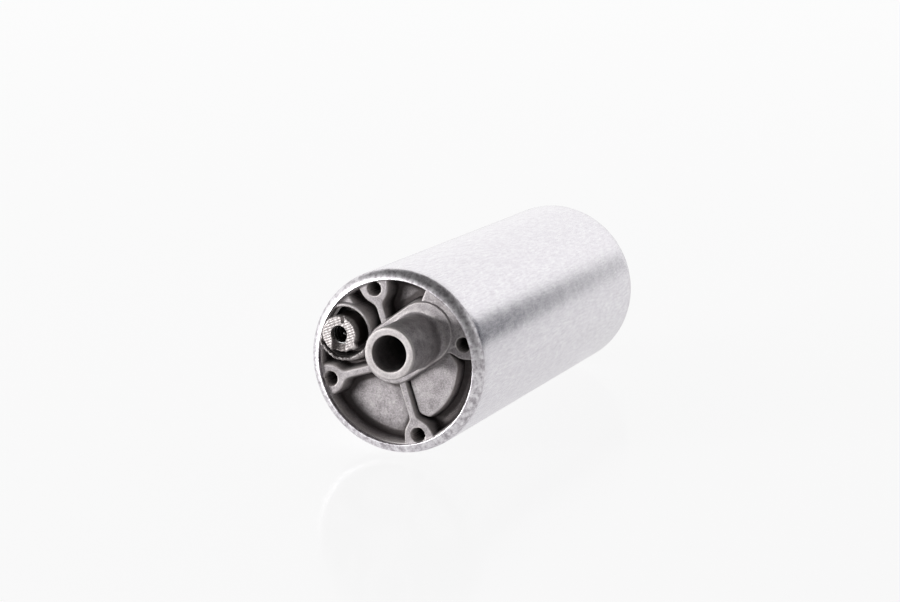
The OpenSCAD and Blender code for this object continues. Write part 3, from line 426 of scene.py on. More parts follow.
def cover_points(size):
    """One grid over the whole casting, closed both ways round the suction bore, with its marks.

    The columns go round the nozzle. The rows climb the bore, turn over the nozzle's tip, come down its outside,
    cross the face to the rim along straight lines, go down the side and come back across the rear. Where the relief
    sleeve's stem goes in, the face drops to the ball's seat, and in the middle of that to the passage below it.
    """
    cols, face_rows, back_rows = 480, 136, 26
    turn = np.linspace(0, 2 * np.pi, cols, endpoint=False)
    tip_y = COVER_LOW[1]
    back_y = COVER_HIGH[1]
    tip_round, bore_round = 0.4, 0.2
    fillet = size.nozzle_fillet
    web_y = -(FACE_Y + size.web_rise)
    bore_floor_y = back_y - PORT_DEPTH
    mid = (BORE_R + NOZZLE_R) / 2
    nozzle = np.concatenate([
        line((BORE_R, bore_floor_y), (BORE_R, tip_y + bore_round), 8),
        arc((BORE_R + bore_round, tip_y + bore_round), bore_round, 180, 270, 5),
        line((mid - 0.2, tip_y), (mid + 0.2, tip_y), 2),
        arc((NOZZLE_R - tip_round, tip_y + tip_round), tip_round, -90, 0, 7),
        line((NOZZLE_R, tip_y + tip_round + 0.6), (NOZZLE_R, web_y - fillet), 6),
    ])
    x, z = around(NOZZLE_XZ, nozzle[:, :1], turn[None, :])
    patches = [np.stack([x, np.broadcast_to(nozzle[:, 1:], x.shape), z], axis=-1)]
    # Bare metal and a painted highlight on the tip's two edges, less on its flat, and painted shade down the bore,
    # one value for each row above
    tip_wear_and_highlight = np.concatenate([np.zeros(8), np.full(5, 0.9), np.full(2, 0.35), np.full(7, 0.75), np.zeros(6)])
    bore_painted_shade = np.concatenate([np.linspace(1, 0.35, 8), np.zeros(20)])
    wear_and_highlight, shade_and_dirt = [np.repeat(tip_wear_and_highlight[:, None], cols, axis=1)], [np.repeat(bore_painted_shade[:, None], cols, axis=1)]

    share = np.linspace(0, 1, face_rows)[:, None]
    x0, z0 = around(NOZZLE_XZ, NOZZLE_R, turn[None, :])
    x1, z1 = around((0, 0), COVER_R - 0.02, turn[None, :])
    x, z = x0 * (1 - share) + x1 * share, z0 * (1 - share) + z1 * share
    height = face_height(x, z, size)
    face_worn, face_shade_and_dirt = face_marks(x, z, height, size)
    seat = -(FACE_Y + SLEEVE_HIGH[1])
    height = cut_height(height, to_disc(x, z, RELIEF_XZ, STEM_R + 0.25), seat, BORE_WALL_SLOPE)
    height = cut_height(height, to_disc(x, z, RELIEF_XZ, BALL_SEAT_R + 0.4), seat - PASSAGE_DEPTH, BORE_WALL_SLOPE)
    off_nozzle = to_disc(x, z, NOZZLE_XZ, NOZZLE_R)
    away = np.clip(off_nozzle, 0, fillet)
    foot = size.web_rise + fillet - np.sqrt(fillet ** 2 - (fillet - away) ** 2)
    height = np.where(away < fillet, np.maximum(height, np.minimum(foot, height + fillet)), height)
    # A painted highlight: a bright ring where the foot's fillet meets the web, laid into the wear mark
    foot_painted_highlight = np.exp(-((away + off_nozzle - fillet * 2) / 0.35) ** 2) * 0.5
    wear_and_highlight.append(np.clip(face_worn + foot_painted_highlight, 0, 1))
    shade_and_dirt.append(face_shade_and_dirt)
    edge = size.lip_bend - (LIP_Y - FACE_Y)
    over = np.clip(np.hypot(x, z) - (CAN_R - size.lip_bend), 0, edge)
    height = height - (edge - np.sqrt(np.maximum(edge ** 2 - over ** 2, 0)))
    patches.append(np.stack([x, -(FACE_Y + height), z], axis=-1))

    groove_front, groove_back, groove_r = back_y - 3.1, back_y - 1.1, CAN_R - size.can_wall - 1.55
    side = np.array([
        (COVER_R, -(FACE_Y - edge)), (COVER_R, groove_front - 0.1), (COVER_R - 0.1, groove_front),
        (groove_r, groove_front + 0.02), (groove_r, groove_back - 0.02), (COVER_R - 0.1, groove_back),
        (COVER_R, groove_back + 0.1), (COVER_R, back_y - 0.15), (COVER_R - 0.15, back_y),
    ])
    x, z = around((0, 0), side[:, :1], turn[None, :])
    patches.append(np.stack([x, np.broadcast_to(side[:, 1:], x.shape), z], axis=-1))

    share = np.linspace(0, 1, back_rows)[1:-1, None]
    x1, z1 = around((0, 0), COVER_R - 0.15, turn[None, :])
    x0, z0 = around(NOZZLE_XZ, BORE_R, turn[None, :])
    x, z = x1 * (1 - share) + x0 * share, z1 * (1 - share) + z0 * share
    patches.append(np.stack([x, back_y + back_height(x, z), z], axis=-1))
    points = np.concatenate(patches, axis=0)
    rest = np.zeros((len(points) - sum(len(part) for part in wear_and_highlight), cols))
    return points, {"wear_and_highlight": np.concatenate([*wear_and_highlight, rest]), "shade_and_dirt": np.concatenate([*shade_and_dirt, rest])}


def staked_points(size):
    """The relief ring's torn edge, staked over towards the sleeve: a closed thin section carried round the ring.

    Its height is a ragged line inside a soft window on the ring's lower left. Elsewhere it stays below the ring's
    top, and it sinks into the ring where the recess's edge runs close by.
    """
    cols = 420
    turn = np.linspace(0, 2 * np.pi, cols, endpoint=False)
    degrees = np.degrees(turn)
    window = smooth(degrees, 150, 172) * (1 - smooth(degrees, 236, 300))
    tail = smooth(degrees, 225, 245) * (1 - smooth(degrees, 318, 340))
    tear = ragged(turn, 5, (7, 11, 19, 31, 47, 61))
    top = 0.35 + window * (size.staked - 0.35) * (1 + 0.55 * tear) + tail * (0.75 + 0.35 * tear)
    top = top - 1.2 * smooth(degrees, 95, 103) * (1 - smooth(degrees, 148, 160))
    lean = 0.25 * (top - 0.35) * (1 + 0.8 * ragged(turn, 9, (5, 13, 23, 37)))
    outer = size.ring_r - 0.04 + 0.12 * window * ragged(turn, 3, (9, 17, 27, 41))
    inner = size.ring_r - size.ring_wall + 0.12
    low = -0.9
    rows = []
    for up, out in ((0.0, 1.0), (0.35, 1.0), (0.7, 0.95), (0.93, 0.82), (1.0, 0.6),
                    (1.0, 0.35), (0.92, 0.15), (0.7, 0.04), (0.35, 0.0), (0.0, 0.0)):
        height = low + (top - low) * up
        radius = inner + (outer - inner) * out - lean * np.clip(height / np.maximum(top, 0.1), 0, 1) ** 2
        x, z = around(RELIEF_XZ, radius, turn)
        inside = np.minimum(1, (size.lip_r - 0.3 - 0.7 * (1 - out)) / np.hypot(x, z))
        rows.append(np.stack([x * inside, -(FACE_Y + height), z * inside], axis=-1))
    wear_and_highlight = np.repeat(np.array([0.1, 0.2, 0.6, 1, 1, 1, 1, 0.5, 0.2, 0.1])[:, None], cols, axis=1)
    return np.stack(rows), {"wear_and_highlight": wear_and_highlight}


def nose_cut(dx, dz):
    """Depth cut from the sleeve's nose at an offset from its axis, in millimetres.

    A wide notch on its lower side, turned by 5 degrees, a nick at the top, and a rough face of crossing waves.
    """
    tilt = math.radians(5)
    along = -dz * math.cos(tilt) - dx * math.sin(tilt)
    across = dx * math.cos(tilt) - dz * math.sin(tilt)
    notch = 1.75 * smooth(along, 0.7, 1.0) * (1 - smooth(np.abs(across - 0.1), 1.5, 1.72))
    nick = 0.7 * smooth(dz, 2.6, 2.9) * (1 - smooth(np.abs(dx - 0.9), 0.22, 0.42))
    rough = 0.022 * (np.sin(5.1 * dx + 2.3 * dz) + np.sin(9.7 * dz - 4.1 * dx + 1) + np.sin(17 * dx + 13 * dz + 2))
    return np.maximum(notch, nick) + 0.1 + rough


def sleeve_points(size):
    """The relief sleeve: a turned section carried round its axis, its nose lowered by nose_cut, with its marks."""
    turn = np.linspace(0, 2 * np.pi, 240, endpoint=False)
    front, deep = SLEEVE_LOW[1], SLEEVE_HIGH[1]
    pocket_y = -(FACE_Y - size.ring_depth)
    rounding = 0.55
    profile = np.concatenate([
        line((STEM_R, deep), (SLEEVE_ROOM_R, deep), 2),
        line((SLEEVE_ROOM_R, deep), (SLEEVE_ROOM_R, front + NOSE_WALL), 4),
        line((SLEEVE_ROOM_R, front + NOSE_WALL), (SLEEVE_BORE_R, front + NOSE_WALL), 2),
        line((SLEEVE_BORE_R, front + NOSE_WALL), (SLEEVE_BORE_R, front + 0.15), 12),
        line((SLEEVE_BORE_R, front + 0.15), (SLEEVE_BORE_R + 0.15, front), 2),
        line((SLEEVE_BORE_R + 0.15, front), (SLEEVE_R - rounding, front), 14),
        arc((SLEEVE_R - rounding, front + rounding), rounding, -90, 0, 7)[:-1],
        line((SLEEVE_R, front + rounding), (SLEEVE_R, front + 2.4), 14),
        line((SLEEVE_R, front + 2.4), (SLEEVE_R, pocket_y), 3),
        line((SLEEVE_R, pocket_y), (STEM_R, pocket_y), 2),
        line((STEM_R, pocket_y), (STEM_R, deep), 4),
    ])
    radius = np.repeat(profile[:, :1], len(turn), axis=1)
    y = np.repeat(profile[:, 1:], len(turn), axis=1)
    degrees = np.degrees(turn)[None, :]
    outside = smooth(radius, SLEEVE_R - 0.9, SLEEVE_R) * (1 - smooth(y, front + 0.9, front + 1.9))
    tab = 0.75 * smooth(degrees, 312, 318) * (1 - smooth(degrees, 330, 338))
    radius = radius + outside * (0.11 * ragged(turn, 21, (6, 11, 17, 29))[None, :] + tab)
    dx, dz = radius * np.cos(turn), radius * np.sin(turn)
    lowered = np.maximum(y, front + nose_cut(dx, dz))
    wear_and_highlight = np.where(lowered > y, 0.9, np.where(y < front + 0.8, 0.4, 0.0))
    points = np.stack([RELIEF_XZ[0] + dx, lowered, RELIEF_XZ[1] + dz], axis=-1)
    # The second mark is painted shade only: darker the further a point lies behind the nose
    return points, {"wear_and_highlight": wear_and_highlight, "shade_and_dirt": np.clip((lowered - front - 0.9) / 1.5, 0, 1)}


def tube(path, radius, sides):
    """A round wire along a path: at each point a circle square to the path's direction."""
    ahead = np.gradient(path, axis=0)
    ahead /= np.linalg.norm(ahead, axis=1, keepdims=True)
    first = np.cross(ahead, (0.0, 1.0, 0.0))
    first /= np.linalg.norm(first, axis=1, keepdims=True)
    second = np.cross(ahead, first)
    turn = np.linspace(0, 2 * np.pi, sides, endpoint=False)[None, :, None]
    return path[:, None] + radius * (np.cos(turn) * first[:, None] + np.sin(turn) * second[:, None])


def spring_end_points():
    """The relief spring's last bit of wire, bent in from the coil across the sleeve's bore."""
    share = np.linspace(0, 1, 24)
    radius = 2.2 - 1.05 * smooth(share, 0.15, 0.9)
    turn = np.radians(-65 + 85 * share)
    x, z = around(RELIEF_XZ, radius, turn)
    y = SLEEVE_LOW[1] + NOSE_WALL + 0.35 - 1.1 * smooth(share, 0.5, 1.0)
    return tube(np.stack([x, y, z], axis=-1), 0.22, 12)


def can_points(size):
    """The can's closed section, carried round its axis, with a mark where the metal was rolled.

    The outside runs along the straight wall and over the roll at each end, the inside follows it one wall inside.
    The rolls wave by a few hundredths of a millimetre, as metal folded by a turning tool does.
    """
    middle_r, wall, soft = CAN_R - size.lip_bend, size.can_wall, 0.2
    inner_bend = size.lip_bend - wall
    bend_y = LIP_Y - size.lip_bend
    roll_end = math.acos((size.lip_r + soft - middle_r) / (size.lip_bend - soft))
    soft_y = bend_y + (size.lip_bend - soft) * math.sin(roll_end)
    half = [
        line((CAN_R, 0), (CAN_R, bend_y), 24),
        arc((middle_r, bend_y), size.lip_bend, 0, math.degrees(roll_end), 24)[:-1],
        arc((size.lip_r + soft, soft_y), soft, math.degrees(roll_end), 180, 8),
        arc((size.lip_r + soft, LIP_Y - wall + soft), soft, 180, 260, 4),
        arc((middle_r, bend_y), inner_bend, 70, 0, 12),
        line((CAN_R - wall, bend_y - 0.1), (CAN_R - wall, 0), 6),
    ]
    back = np.concatenate(half)
    front = back[::-1] * [1, -1]
    profile = np.concatenate([back, front[:-1]])
    cols, ripple = 360, 0.0012
    points = lathe(profile, cols)
    turn = np.linspace(0, 2 * np.pi, cols, endpoint=False)
    rolled = smooth(np.abs(profile[:, 1]), bend_y - 0.3, bend_y + 0.6)[:, None] * np.ones((1, cols))
    wave = ragged(turn, 12, (5, 9, 14, 23, 37, 58))
    inset = 1 - rolled * (ripple + ripple * wave)
    points[..., 0] *= inset
    points[..., 2] *= inset
    return points, {"rolled": rolled}


def stud_points(node, mount, pitch):
    """A terminal stud: head, shank, neck and threaded end, with the thread's radius a function of turn and height.

    The thread's depth follows a blunted triangle wave of height over pitch less the turn, and fades at both ends.
    """
    low, high = box_mm(node)
    at, dims = mount_mm(mount)
    full_r, length = dims["r_mm"], dims["length_mm"]
    thread_y = high[1] - length
    washer_y = box_mm(node.replace("terminal", "washer"))[0][1]
    turn = np.linspace(0, 2 * np.pi, 96, endpoint=False)
    head_r, head_t, bevel = (high[0] - low[0]) / 2, 1.4, 0.15
    shank_r, neck_r = full_r + 0.4, full_r - 0.3
    head_top = low[1] + head_t
    body = [
        (low[1], head_r - bevel), (low[1] + bevel, head_r), (head_top - bevel, head_r), (head_top, head_r - bevel),
        (head_top, shank_r), (washer_y, shank_r), (washer_y, neck_r), (thread_y - 0.02, neck_r),
    ]
    threaded = np.linspace(thread_y, high[1], int(length / pitch * 12))
    y = np.concatenate([[up for up, _ in body], threaded])[:, None]
    body_r = np.concatenate([[r for _, r in body], np.full(len(threaded), full_r)])[:, None]
    thread_depth, end_slope = 0.55 * pitch, 1.2
    phase = (y / pitch - turn[None, :] / (2 * np.pi)) % 1
    wave = np.clip(np.abs(2 * phase - 1) * 1.3 - 0.15, 0, 1)
    cut = body_r - thread_depth * wave * smooth(y, thread_y, thread_y + 0.5)
    cut = np.minimum(cut, full_r - thread_depth + (high[1] - y) * end_slope)
    cut = np.minimum(cut, neck_r + (y - thread_y) * end_slope)
    radius = np.where(y >= thread_y, cut, body_r)
    x, z = around(at[[0, 2]], radius, turn[None, :])
    return np.stack([x, np.broadcast_to(y, x.shape), z], axis=-1)


def nut_points(node, stud_r):
    """A chamfered hexagon nut: its sides by the distance to a hexagon, its ends cut back by a 30 degree cone."""
    low, high = box_mm(node)
    centre = ((low + high) / 2)[[0, 2]]
    apothem = (high[2] - low[2]) / 2
    turn = np.linspace(0, 2 * np.pi, 192, endpoint=False)
    hexagon = apothem / np.cos(turn % (np.pi / 3) - np.pi / 6)
    circle = np.full_like(turn, apothem * 0.96)
    bore, lead = np.full_like(turn, stud_r - 0.25), 0.45
    cone = math.tan(math.radians(30))
    out = [circle + (hexagon - circle) * share for share in (0.0, 0.35, 0.7, 1.0)]
    rows = [(bore, high[1] - lead), (bore + lead, high[1])]
    rows += [(r, high[1] - (r - circle) * cone) for r in out]
    rows += [(r, low[1] + (r - circle) * cone) for r in out[::-1]]
    rows += [(bore + lead, low[1]), (bore, low[1] + lead)]
    stacked = []
    for radius, y in rows:
        x, z = around(centre, radius, turn)
        stacked.append(np.stack([x, np.broadcast_to(y, x.shape), z], axis=-1))
    return np.stack(stacked)


def washer_points(node, stud_r):
    """A flat washer with rounded edges: a rounded section carried round the stud."""
    low, high = box_mm(node)
    centre = ((low + high) / 2)[[0, 2]]
    outer, inner, soft = (high[0] - low[0]) / 2, stud_r + 0.1, 0.18
    section = np.concatenate([
        arc((outer - soft, high[1] - soft), soft, 90, 0, 5), arc((outer - soft, low[1] + soft), soft, 0, -90, 5),
        arc((inner + soft, low[1] + soft), soft, -90, -180, 5), arc((inner + soft, high[1] - soft), soft, 180, 90, 5),
    ])
    return lathe(section, 120, centre)


def bar_points(centre, half, low_y, high_y):
    """A raised bar with rounded edges on the outlet end: a superellipse outline that shrinks a little at its top."""
    turn = np.linspace(0, 2 * np.pi, 64, endpoint=False)
    round_trip = np.stack([np.cos(turn), np.sin(turn)])
    outline = np.sign(round_trip) * np.abs(round_trip) ** 0.35
    rows = []
    for y, shrink in ((low_y, 0.0), (high_y - 0.12, 0.04), (high_y, 0.14)):
        x, z = (centre[i] + (half[i] - shrink) * outline[i] for i in (0, 1))
        rows.append(np.stack([x, np.full_like(turn, y), z], axis=-1))
    return np.stack(rows)


# Finishes


def node(tree, kind, inputs=None, out=0, stops=(), **settings):
    """Adds a node with its settings and links, and returns the output asked for, or None where it has none.

    An input given as a socket is linked, one given as a hex code is that colour, and any other is a value.
    The stops of a colour ramp are pairs of position and hex code.
    """
    made = tree.nodes.new(kind)
    for key, value in settings.items():
        setattr(made, key, value)
    for key, value in (inputs or {}).items():
        if isinstance(value, bpy.types.NodeSocket):
            tree.links.new(value, made.inputs[key])
        else:
            made.inputs[key].default_value = linear(value) if isinstance(value, str) else value
    for number, (place, code) in enumerate(stops):
        points = made.color_ramp.elements
        point = points[number] if number < len(points) else points.new(1.0)
        point.position, point.color = place, linear(code)
    return made.outputs[out] if len(made.outputs) else None


def blank(name):
    """A material with an empty node tree, and that tree."""
    made = bpy.data.materials.new(name)
    made.use_nodes = True
    made.node_tree.nodes.clear()
    return made, made.node_tree


def grains(tree, size_mm, detail, roughness, stretch=(1, 1, 1)):
    """Grains about size_mm across, on the part's own coordinates. A stretch below 1 makes them longer that way."""
    place = node(tree, "ShaderNodeTexCoord", out="Object")
    place = node(tree, "ShaderNodeMapping", {"Vector": place, "Scale": stretch})
    return node(tree, "ShaderNodeTexNoise", {
        "Vector": place, "Scale": 1 / (size_mm * MM), "Detail": detail, "Roughness": roughness})


def tool_marks(tree, count):
    """Marks that run out from the pump's axis, about count of them: they change with the turn round it only."""
    place = node(tree, "ShaderNodeTexCoord", out="Object")
    flat = node(tree, "ShaderNodeVectorMath", {0: place, 1: (1, 0, 1)}, operation="MULTIPLY")
    unit = node(tree, "ShaderNodeVectorMath", {0: flat}, operation="NORMALIZE")
    return node(tree, "ShaderNodeTexNoise", {
        "Vector": unit, "Scale": count / math.tau, "Detail": 3.0, "Roughness": 0.6})


def shade_with(tree, heights, inputs):
    """Ends a finish: its heights, each so many millimetres deep and laid over the last, then shader and output."""
    under = {}
    for height, depth_mm in heights:
        laid = {"Height": height, "Distance": depth_mm * MM, "Strength": 1.0, **under}
        under = {"Normal": node(tree, "ShaderNodeBump", laid)}
    shader = node(tree, "ShaderNodeBsdfPrincipled", {**inputs, **under})
    node(tree, "ShaderNodeOutputMaterial", {"Surface": shader})


def drawn_aluminium(colours):
    """Aluminium tube, deep drawn and tumbled: near white, with short fine streaks along it and a pebbled skin.

    The rolled ends are darker and blotched, with the rolling tool's marks running out from the axis. The real
    streaks are finer than a tenth of a millimetre, and are drawn as coarse as they need to be to show.
    """
    made, tree = blank("drawn_aluminium")
    streaks = grains(tree, 0.45, 4, 0.65, (1, 0.16, 1))
    fine = grains(tree, 0.28, 3, 0.6, (1, 0.5, 1))
    mottle = grains(tree, 1.8, 5, 0.65, (1, 0.6, 1))
    waves = grains(tree, 9.0, 2, 0.5)
    blotch = grains(tree, 1.1, 4, 0.7)
    tool = tool_marks(tree, 110)
    rolled = node(tree, "ShaderNodeAttribute", out="Fac", attribute_name="rolled")
    skin = node(tree, "ShaderNodeMix", {0: 0.6, 2: mottle, 3: streaks})
    skin = node(tree, "ShaderNodeValToRGB", {"Fac": skin},
                stops=[(0.34, "#e0dce2"), (0.5, colours.can), (0.62, "#f9f8fa")])
    spots = node(tree, "ShaderNodeMix", {0: 0.25, 2: blotch, 3: tool})
    spots = node(tree, "ShaderNodeValToRGB", {"Fac": spots},
                 stops=[(0.38, "#a09a9f"), (0.5, "#dad6da"), (0.6, "#f8f6f8")])
    share = node(tree, "ShaderNodeMath", {0: rolled, 1: 0.85}, operation="MULTIPLY")
    colour = node(tree, "ShaderNodeMix", {0: share, 6: skin, 7: spots}, out=2, data_type="RGBA")
    rough = node(tree, "ShaderNodeMapRange", {"Value": mottle, "To Min": 0.1, "To Max": 0.3})
    rough = node(tree, "ShaderNodeMath", {0: rolled, 1: 0.16, 2: rough}, operation="MULTIPLY_ADD")
    ridges = node(tree, "ShaderNodeMath", {0: tool, 1: rolled}, operation="MULTIPLY")
    shade_with(tree, [(mottle, 0.012), (fine, 0.004), (streaks, 0.007), (waves, 0.05), (ridges, 0.03)],
               {"Base Color": colour, "Metallic": 1.0, "Roughness": rough})
    return made


def die_cast(colours):
    """Die-cast aluminium, blasted: dull grey with a grain, rubbed bright on its edges, with painted highlights on the
    nozzle's tip and round its foot, and painted shade in its recesses and bore, with brown dirt in the recesses.

    The blasted grain of a tenth of a millimetre is drawn at 0.32 mm, because it would be too fine to show.
    """
    made, tree = blank("die_cast_aluminium")
    grain = grains(tree, 0.32, 5, 0.75)
    cloud = grains(tree, 2.4, 4, 0.6)
    colour = node(tree, "ShaderNodeMix", {0: 0.65, 2: cloud, 3: grain})
    colour = node(tree, "ShaderNodeValToRGB", {"Fac": colour},
                  stops=[(0.36, "#6a6566"), (0.5, colours.cast), (0.64, "#bbb6b6")])
    # Two marks: the first lightens worn edges and also paints highlights on the nozzle's tip and round its foot; the
    # second is painted shade in the recesses and down the bore, with brown dirt on the face
    for label, pattern, low, high, code in (
            ("wear_and_highlight", grain, 0.35, 1.0, "#cfcac8"), ("shade_and_dirt", cloud, 0.75, 1.05, "#2c2524")):
        mark = node(tree, "ShaderNodeAttribute", out="Fac", attribute_name=label)
        broken = node(tree, "ShaderNodeMapRange", {"Value": pattern, "To Min": low, "To Max": high})
        share = node(tree, "ShaderNodeMath", {0: mark, 1: broken}, operation="MULTIPLY")
        colour = node(tree, "ShaderNodeMix", {0: share, 6: colour, 7: code}, out=2, data_type="RGBA")
    rough = node(tree, "ShaderNodeMapRange", {"Value": grain, "To Min": 0.4, "To Max": 0.6})
    shade_with(tree, [(cloud, 0.06), (grain, 0.07)],
               {"Base Color": colour, "Metallic": 0.6, "Roughness": rough})
    return made


def turned_steel(colours):
    """Free-cutting steel, turned bright: warm grey, its staked nose rough and patchy, darker with painted shade
    further back from the nose, down in the notch.
    """
    made, tree = blank("turned_steel")
    turning = grains(tree, 0.8, 3, 0.6, (1, 3, 1))
    grain = grains(tree, 0.35, 4, 0.7)
    colour = node(tree, "ShaderNodeValToRGB", {"Fac": turning}, stops=[(0.3, "#8c8786"), (0.6, colours.steel)])
    torn = node(tree, "ShaderNodeValToRGB", {"Fac": grain}, stops=[(0.38, "#7f7979"), (0.62, "#bcb6b5")])
    # Torn patches on the worn nose, then painted shade, near black, further back from it
    for label, over in (("wear_and_highlight", torn), ("shade_and_dirt", "#3a3230")):
        mark = node(tree, "ShaderNodeAttribute", out="Fac", attribute_name=label)
        colour = node(tree, "ShaderNodeMix", {0: mark, 6: colour, 7: over}, out=2, data_type="RGBA")
    rough = node(tree, "ShaderNodeMapRange", {"Value": grain, "To Min": 0.38, "To Max": 0.58})
    shade_with(tree, [(grain, 0.03)], {"Base Color": colour, "Metallic": 0.8, "Roughness": rough})
    return made


def plain_finish(name, dark, pale, metallic, roughness, grain_mm, depth_mm, stretch=(1, 1, 1), **more):
    """A finish with one grain in it, which carries its colour from dark to pale and makes it a little uneven."""
    made, tree = blank(name)
    grain = grains(tree, grain_mm, 3 if metallic else 4, 0.6, stretch)
    ends = (0.3, 0.65) if metallic else (0.35, 0.7)
    colour = node(tree, "ShaderNodeValToRGB", {"Fac": grain}, stops=zip(ends, (dark, pale)))
    rough = node(tree, "ShaderNodeMapRange", {
        "Value": grain, "To Min": roughness - (0.06 if metallic else 0.08),
        "To Max": roughness + (0.08 if metallic else 0.1)})
    shade_with(tree, [(grain, depth_mm)], {
        "Base Color": colour, "Metallic": 1.0 if metallic else 0.0, "Roughness": rough, **more})
    return made


def darker(code):
    """A hex code with each channel at 82 hundredths: the low spots of a metal's grain."""
    return "#" + "".join("%02x" % int(int(code[i:i + 2], 16) * 0.82) for i in (1, 3, 5))


# Name, colour, roughness, grain and its depth in millimetres, and stretch. The grains finer than a tenth of a
# millimetre are drawn as coarse as they need to be to show.
METALS = {
    # Pressed and sintered powder: mid grey and matt, with open pores
    "sintered_steel": ("sintered_steel", "#8a8783", 0.45, 0.12, 0.01, (1, 1, 1)),
    # Zinc plating, passivated: pale and cool, with a soft shine
    "zinc_steel": ("zinc_plated_steel", "#b9bcc0", 0.36, 0.25, 0.008, (1, 1, 1)),
    # Punched sheets in a stack: dull, with a line at each sheet
    "core_steel": ("core_sheet_steel", "#7c7c80", 0.5, 0.35, 0.02, (0.1, 3, 0.1)),
    # Hard drawn wire: smooth and bright
    "spring_steel": ("drawn_spring_wire", "#a9a9a9", 0.3, 0.15, 0.004, (1, 1, 1)),
    # Oil-soaked sintered bronze: brown gold and matt
    "bronze": ("sintered_bronze", "#b98a58", 0.45, 0.12, 0.01, (1, 1, 1)),
    # Turned brass, a little dulled: pale gold with rings round the stud
    "brass_stud": ("turned_brass", "#c2a872", 0.32, 0.25, 0.006, (1, 6, 1)),
    # Copper wire under clear enamel: red brown, wire beside wire
    "copper": ("enamelled_copper", "#b96d45", 0.35, 0.3, 0.02, (1, 5, 1)),
}


def make_finishes(colours):
    """Every finish by its record slot."""
    made = {slot: plain_finish(name, darker(code), code, True, *rest) for slot, (name, code, *rest) in METALS.items()}
    moulded = {
        # Pressed and fired ferrite: near black, dry and grainy
        "ferrite": ("pressed_ferrite", "#2c2c2e", "#3c3b3b", 0.6, 0.3, 0.02),
        # Moulded nylon with glass fibre: black, half matt, with an eroded skin
        "black_plastic": ("glass_filled_nylon", colours.plastic, "#303033", 0.45, 0.25, 0.02),
        # Moulded acetal: cream, smooth and slightly waxy
        "pale_plastic": ("acetal", "#ded9c9", "#ebe6d8", 0.4, 0.4, 0.01),
        # Pressed carbon with copper: black with a dull sheen
        "carbon": ("pressed_carbon", "#1d1d1e", "#2b2b2b", 0.55, 0.15, 0.01),
        # Moulded nitrile rubber: black and soft looking
        "seal_rubber": ("nitrile_rubber", "#131313", "#1c1c1c", 0.5, 0.3, 0.01),
    }
    for slot, (name, dark, pale, *rest) in moulded.items():
        made[slot] = plain_finish(name, dark, pale, False, *rest, IOR=1.5)
    return {
        "can_aluminium": drawn_aluminium(colours), "die_cast": die_cast(colours),
        "bright_steel": turned_steel(colours), **made}


finishes = {}


def finish_for(slot):
    """The finish of a record slot. All of them are made when the first is asked for."""
    if not finishes:
        finishes.update(make_finishes(bpy.context.scene.fuel_pump_colours))
    return finishes[slot]


# Operators


class PUMP_OT_can(bpy.types.Operator):
    """Drawn can with its rolled lips"""

    bl_idname = "fuel_pump.can"
    bl_label = "Can"

    def execute(self, context):
        points, marks = can_points(context.scene.fuel_pump_sizes)
        made = make_piece("can_shell", points, "housing", "can_aluminium", marks=marks)
        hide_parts("can")
        return {"FINISHED"}


class PUMP_OT_cover(bpy.types.Operator):
    """Cast inlet cover with its nozzle, ribs, bosses and recess, and the relief ring's staked edge"""

    bl_idname = "fuel_pump.cover"
    bl_label = "Inlet cover"

    def execute(self, context):
        size = context.scene.fuel_pump_sizes
        points, marks = cover_points(size)
        made = make_piece("cast_cover", points, "housing", "die_cast", marks=marks)
        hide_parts("inlet_cover")
        points, marks = staked_points(size)
        make_piece("staked_edge", points, "housing", "die_cast", marks=marks)
        return {"FINISHED"}


class PUMP_OT_relief(bpy.types.Operator):
    """Relief valve: its turned sleeve with the rough nose, and the end of its spring"""

    bl_idname = "fuel_pump.relief"
    bl_label = "Relief valve"

    def execute(self, context):
        points, marks = sleeve_points(context.scene.fuel_pump_sizes)
        made = make_piece("relief_nose", points, "housing", "bright_steel", marks=marks)
        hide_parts("relief_sleeve")
        make_piece("spring_end", spring_end_points(), "housing", "spring_steel", wrap_rows=False)
        return {"FINISHED"}


class PUMP_OT_terminals(bpy.types.Operator):
    """Threaded studs, nuts and washers on the outlet end, with the signs of their poles beside them"""

    bl_idname = "fuel_pump.terminals"
    bl_label = "Terminals"

    def execute(self, context):
        size = context.scene.fuel_pump_sizes
        for pole, pitch in (("positive", size.positive_pitch), ("negative", size.negative_pitch)):
            stud_r = mount_mm(pole + "_stud")[1]["r_mm"]
            stud = stud_points("terminal_" + pole, pole + "_stud", pitch)
            stud = make_piece("stud_" + pole, stud, "housing", "brass_stud", wrap_rows=False, sharp=40)
            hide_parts("terminal_" + pole)
            nut = nut_points("nut_" + pole, stud_r)
            nut = make_piece("hex_nut_" + pole, nut, "housing", "zinc_steel", sharp=25)
            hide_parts("nut_" + pole)
            washer = washer_points("washer_" + pole, stud_r)
            washer = make_piece("flat_washer_" + pole, washer, "housing", "zinc_steel")
            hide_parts("washer_" + pole)
        level, upright = (SIGN_LONG, SIGN_SHORT), (SIGN_SHORT, SIGN_LONG)
        for name, x, half in (
                ("plus_bar", SIGN_X, level), ("plus_post", SIGN_X, upright), ("minus_bar", -SIGN_X, level)):
            bar = bar_points((x, SIGN_Z), half, BELL_BACK_Y - 0.2, BELL_BACK_Y + SIGN_RISE)
            make_piece(name, bar, "housing", "black_plastic", wrap_rows=False)
        return {"FINISHED"}


class PUMP_OT_inner(bpy.types.Operator):
    """Finishes of the pieces whose CAD shape is kept"""

    bl_idname = "fuel_pump.inner"
    bl_label = "Kept pieces"

    def execute(self, context):
        slots = {row["node"]: row["material_slot"] for row in frame["record"]["subparts"]}
        for name, piece in frame["nodes"].items():
            piece.data.materials.clear()
            piece.data.materials.append(finish_for(slots[name]))
        return {"FINISHED"}


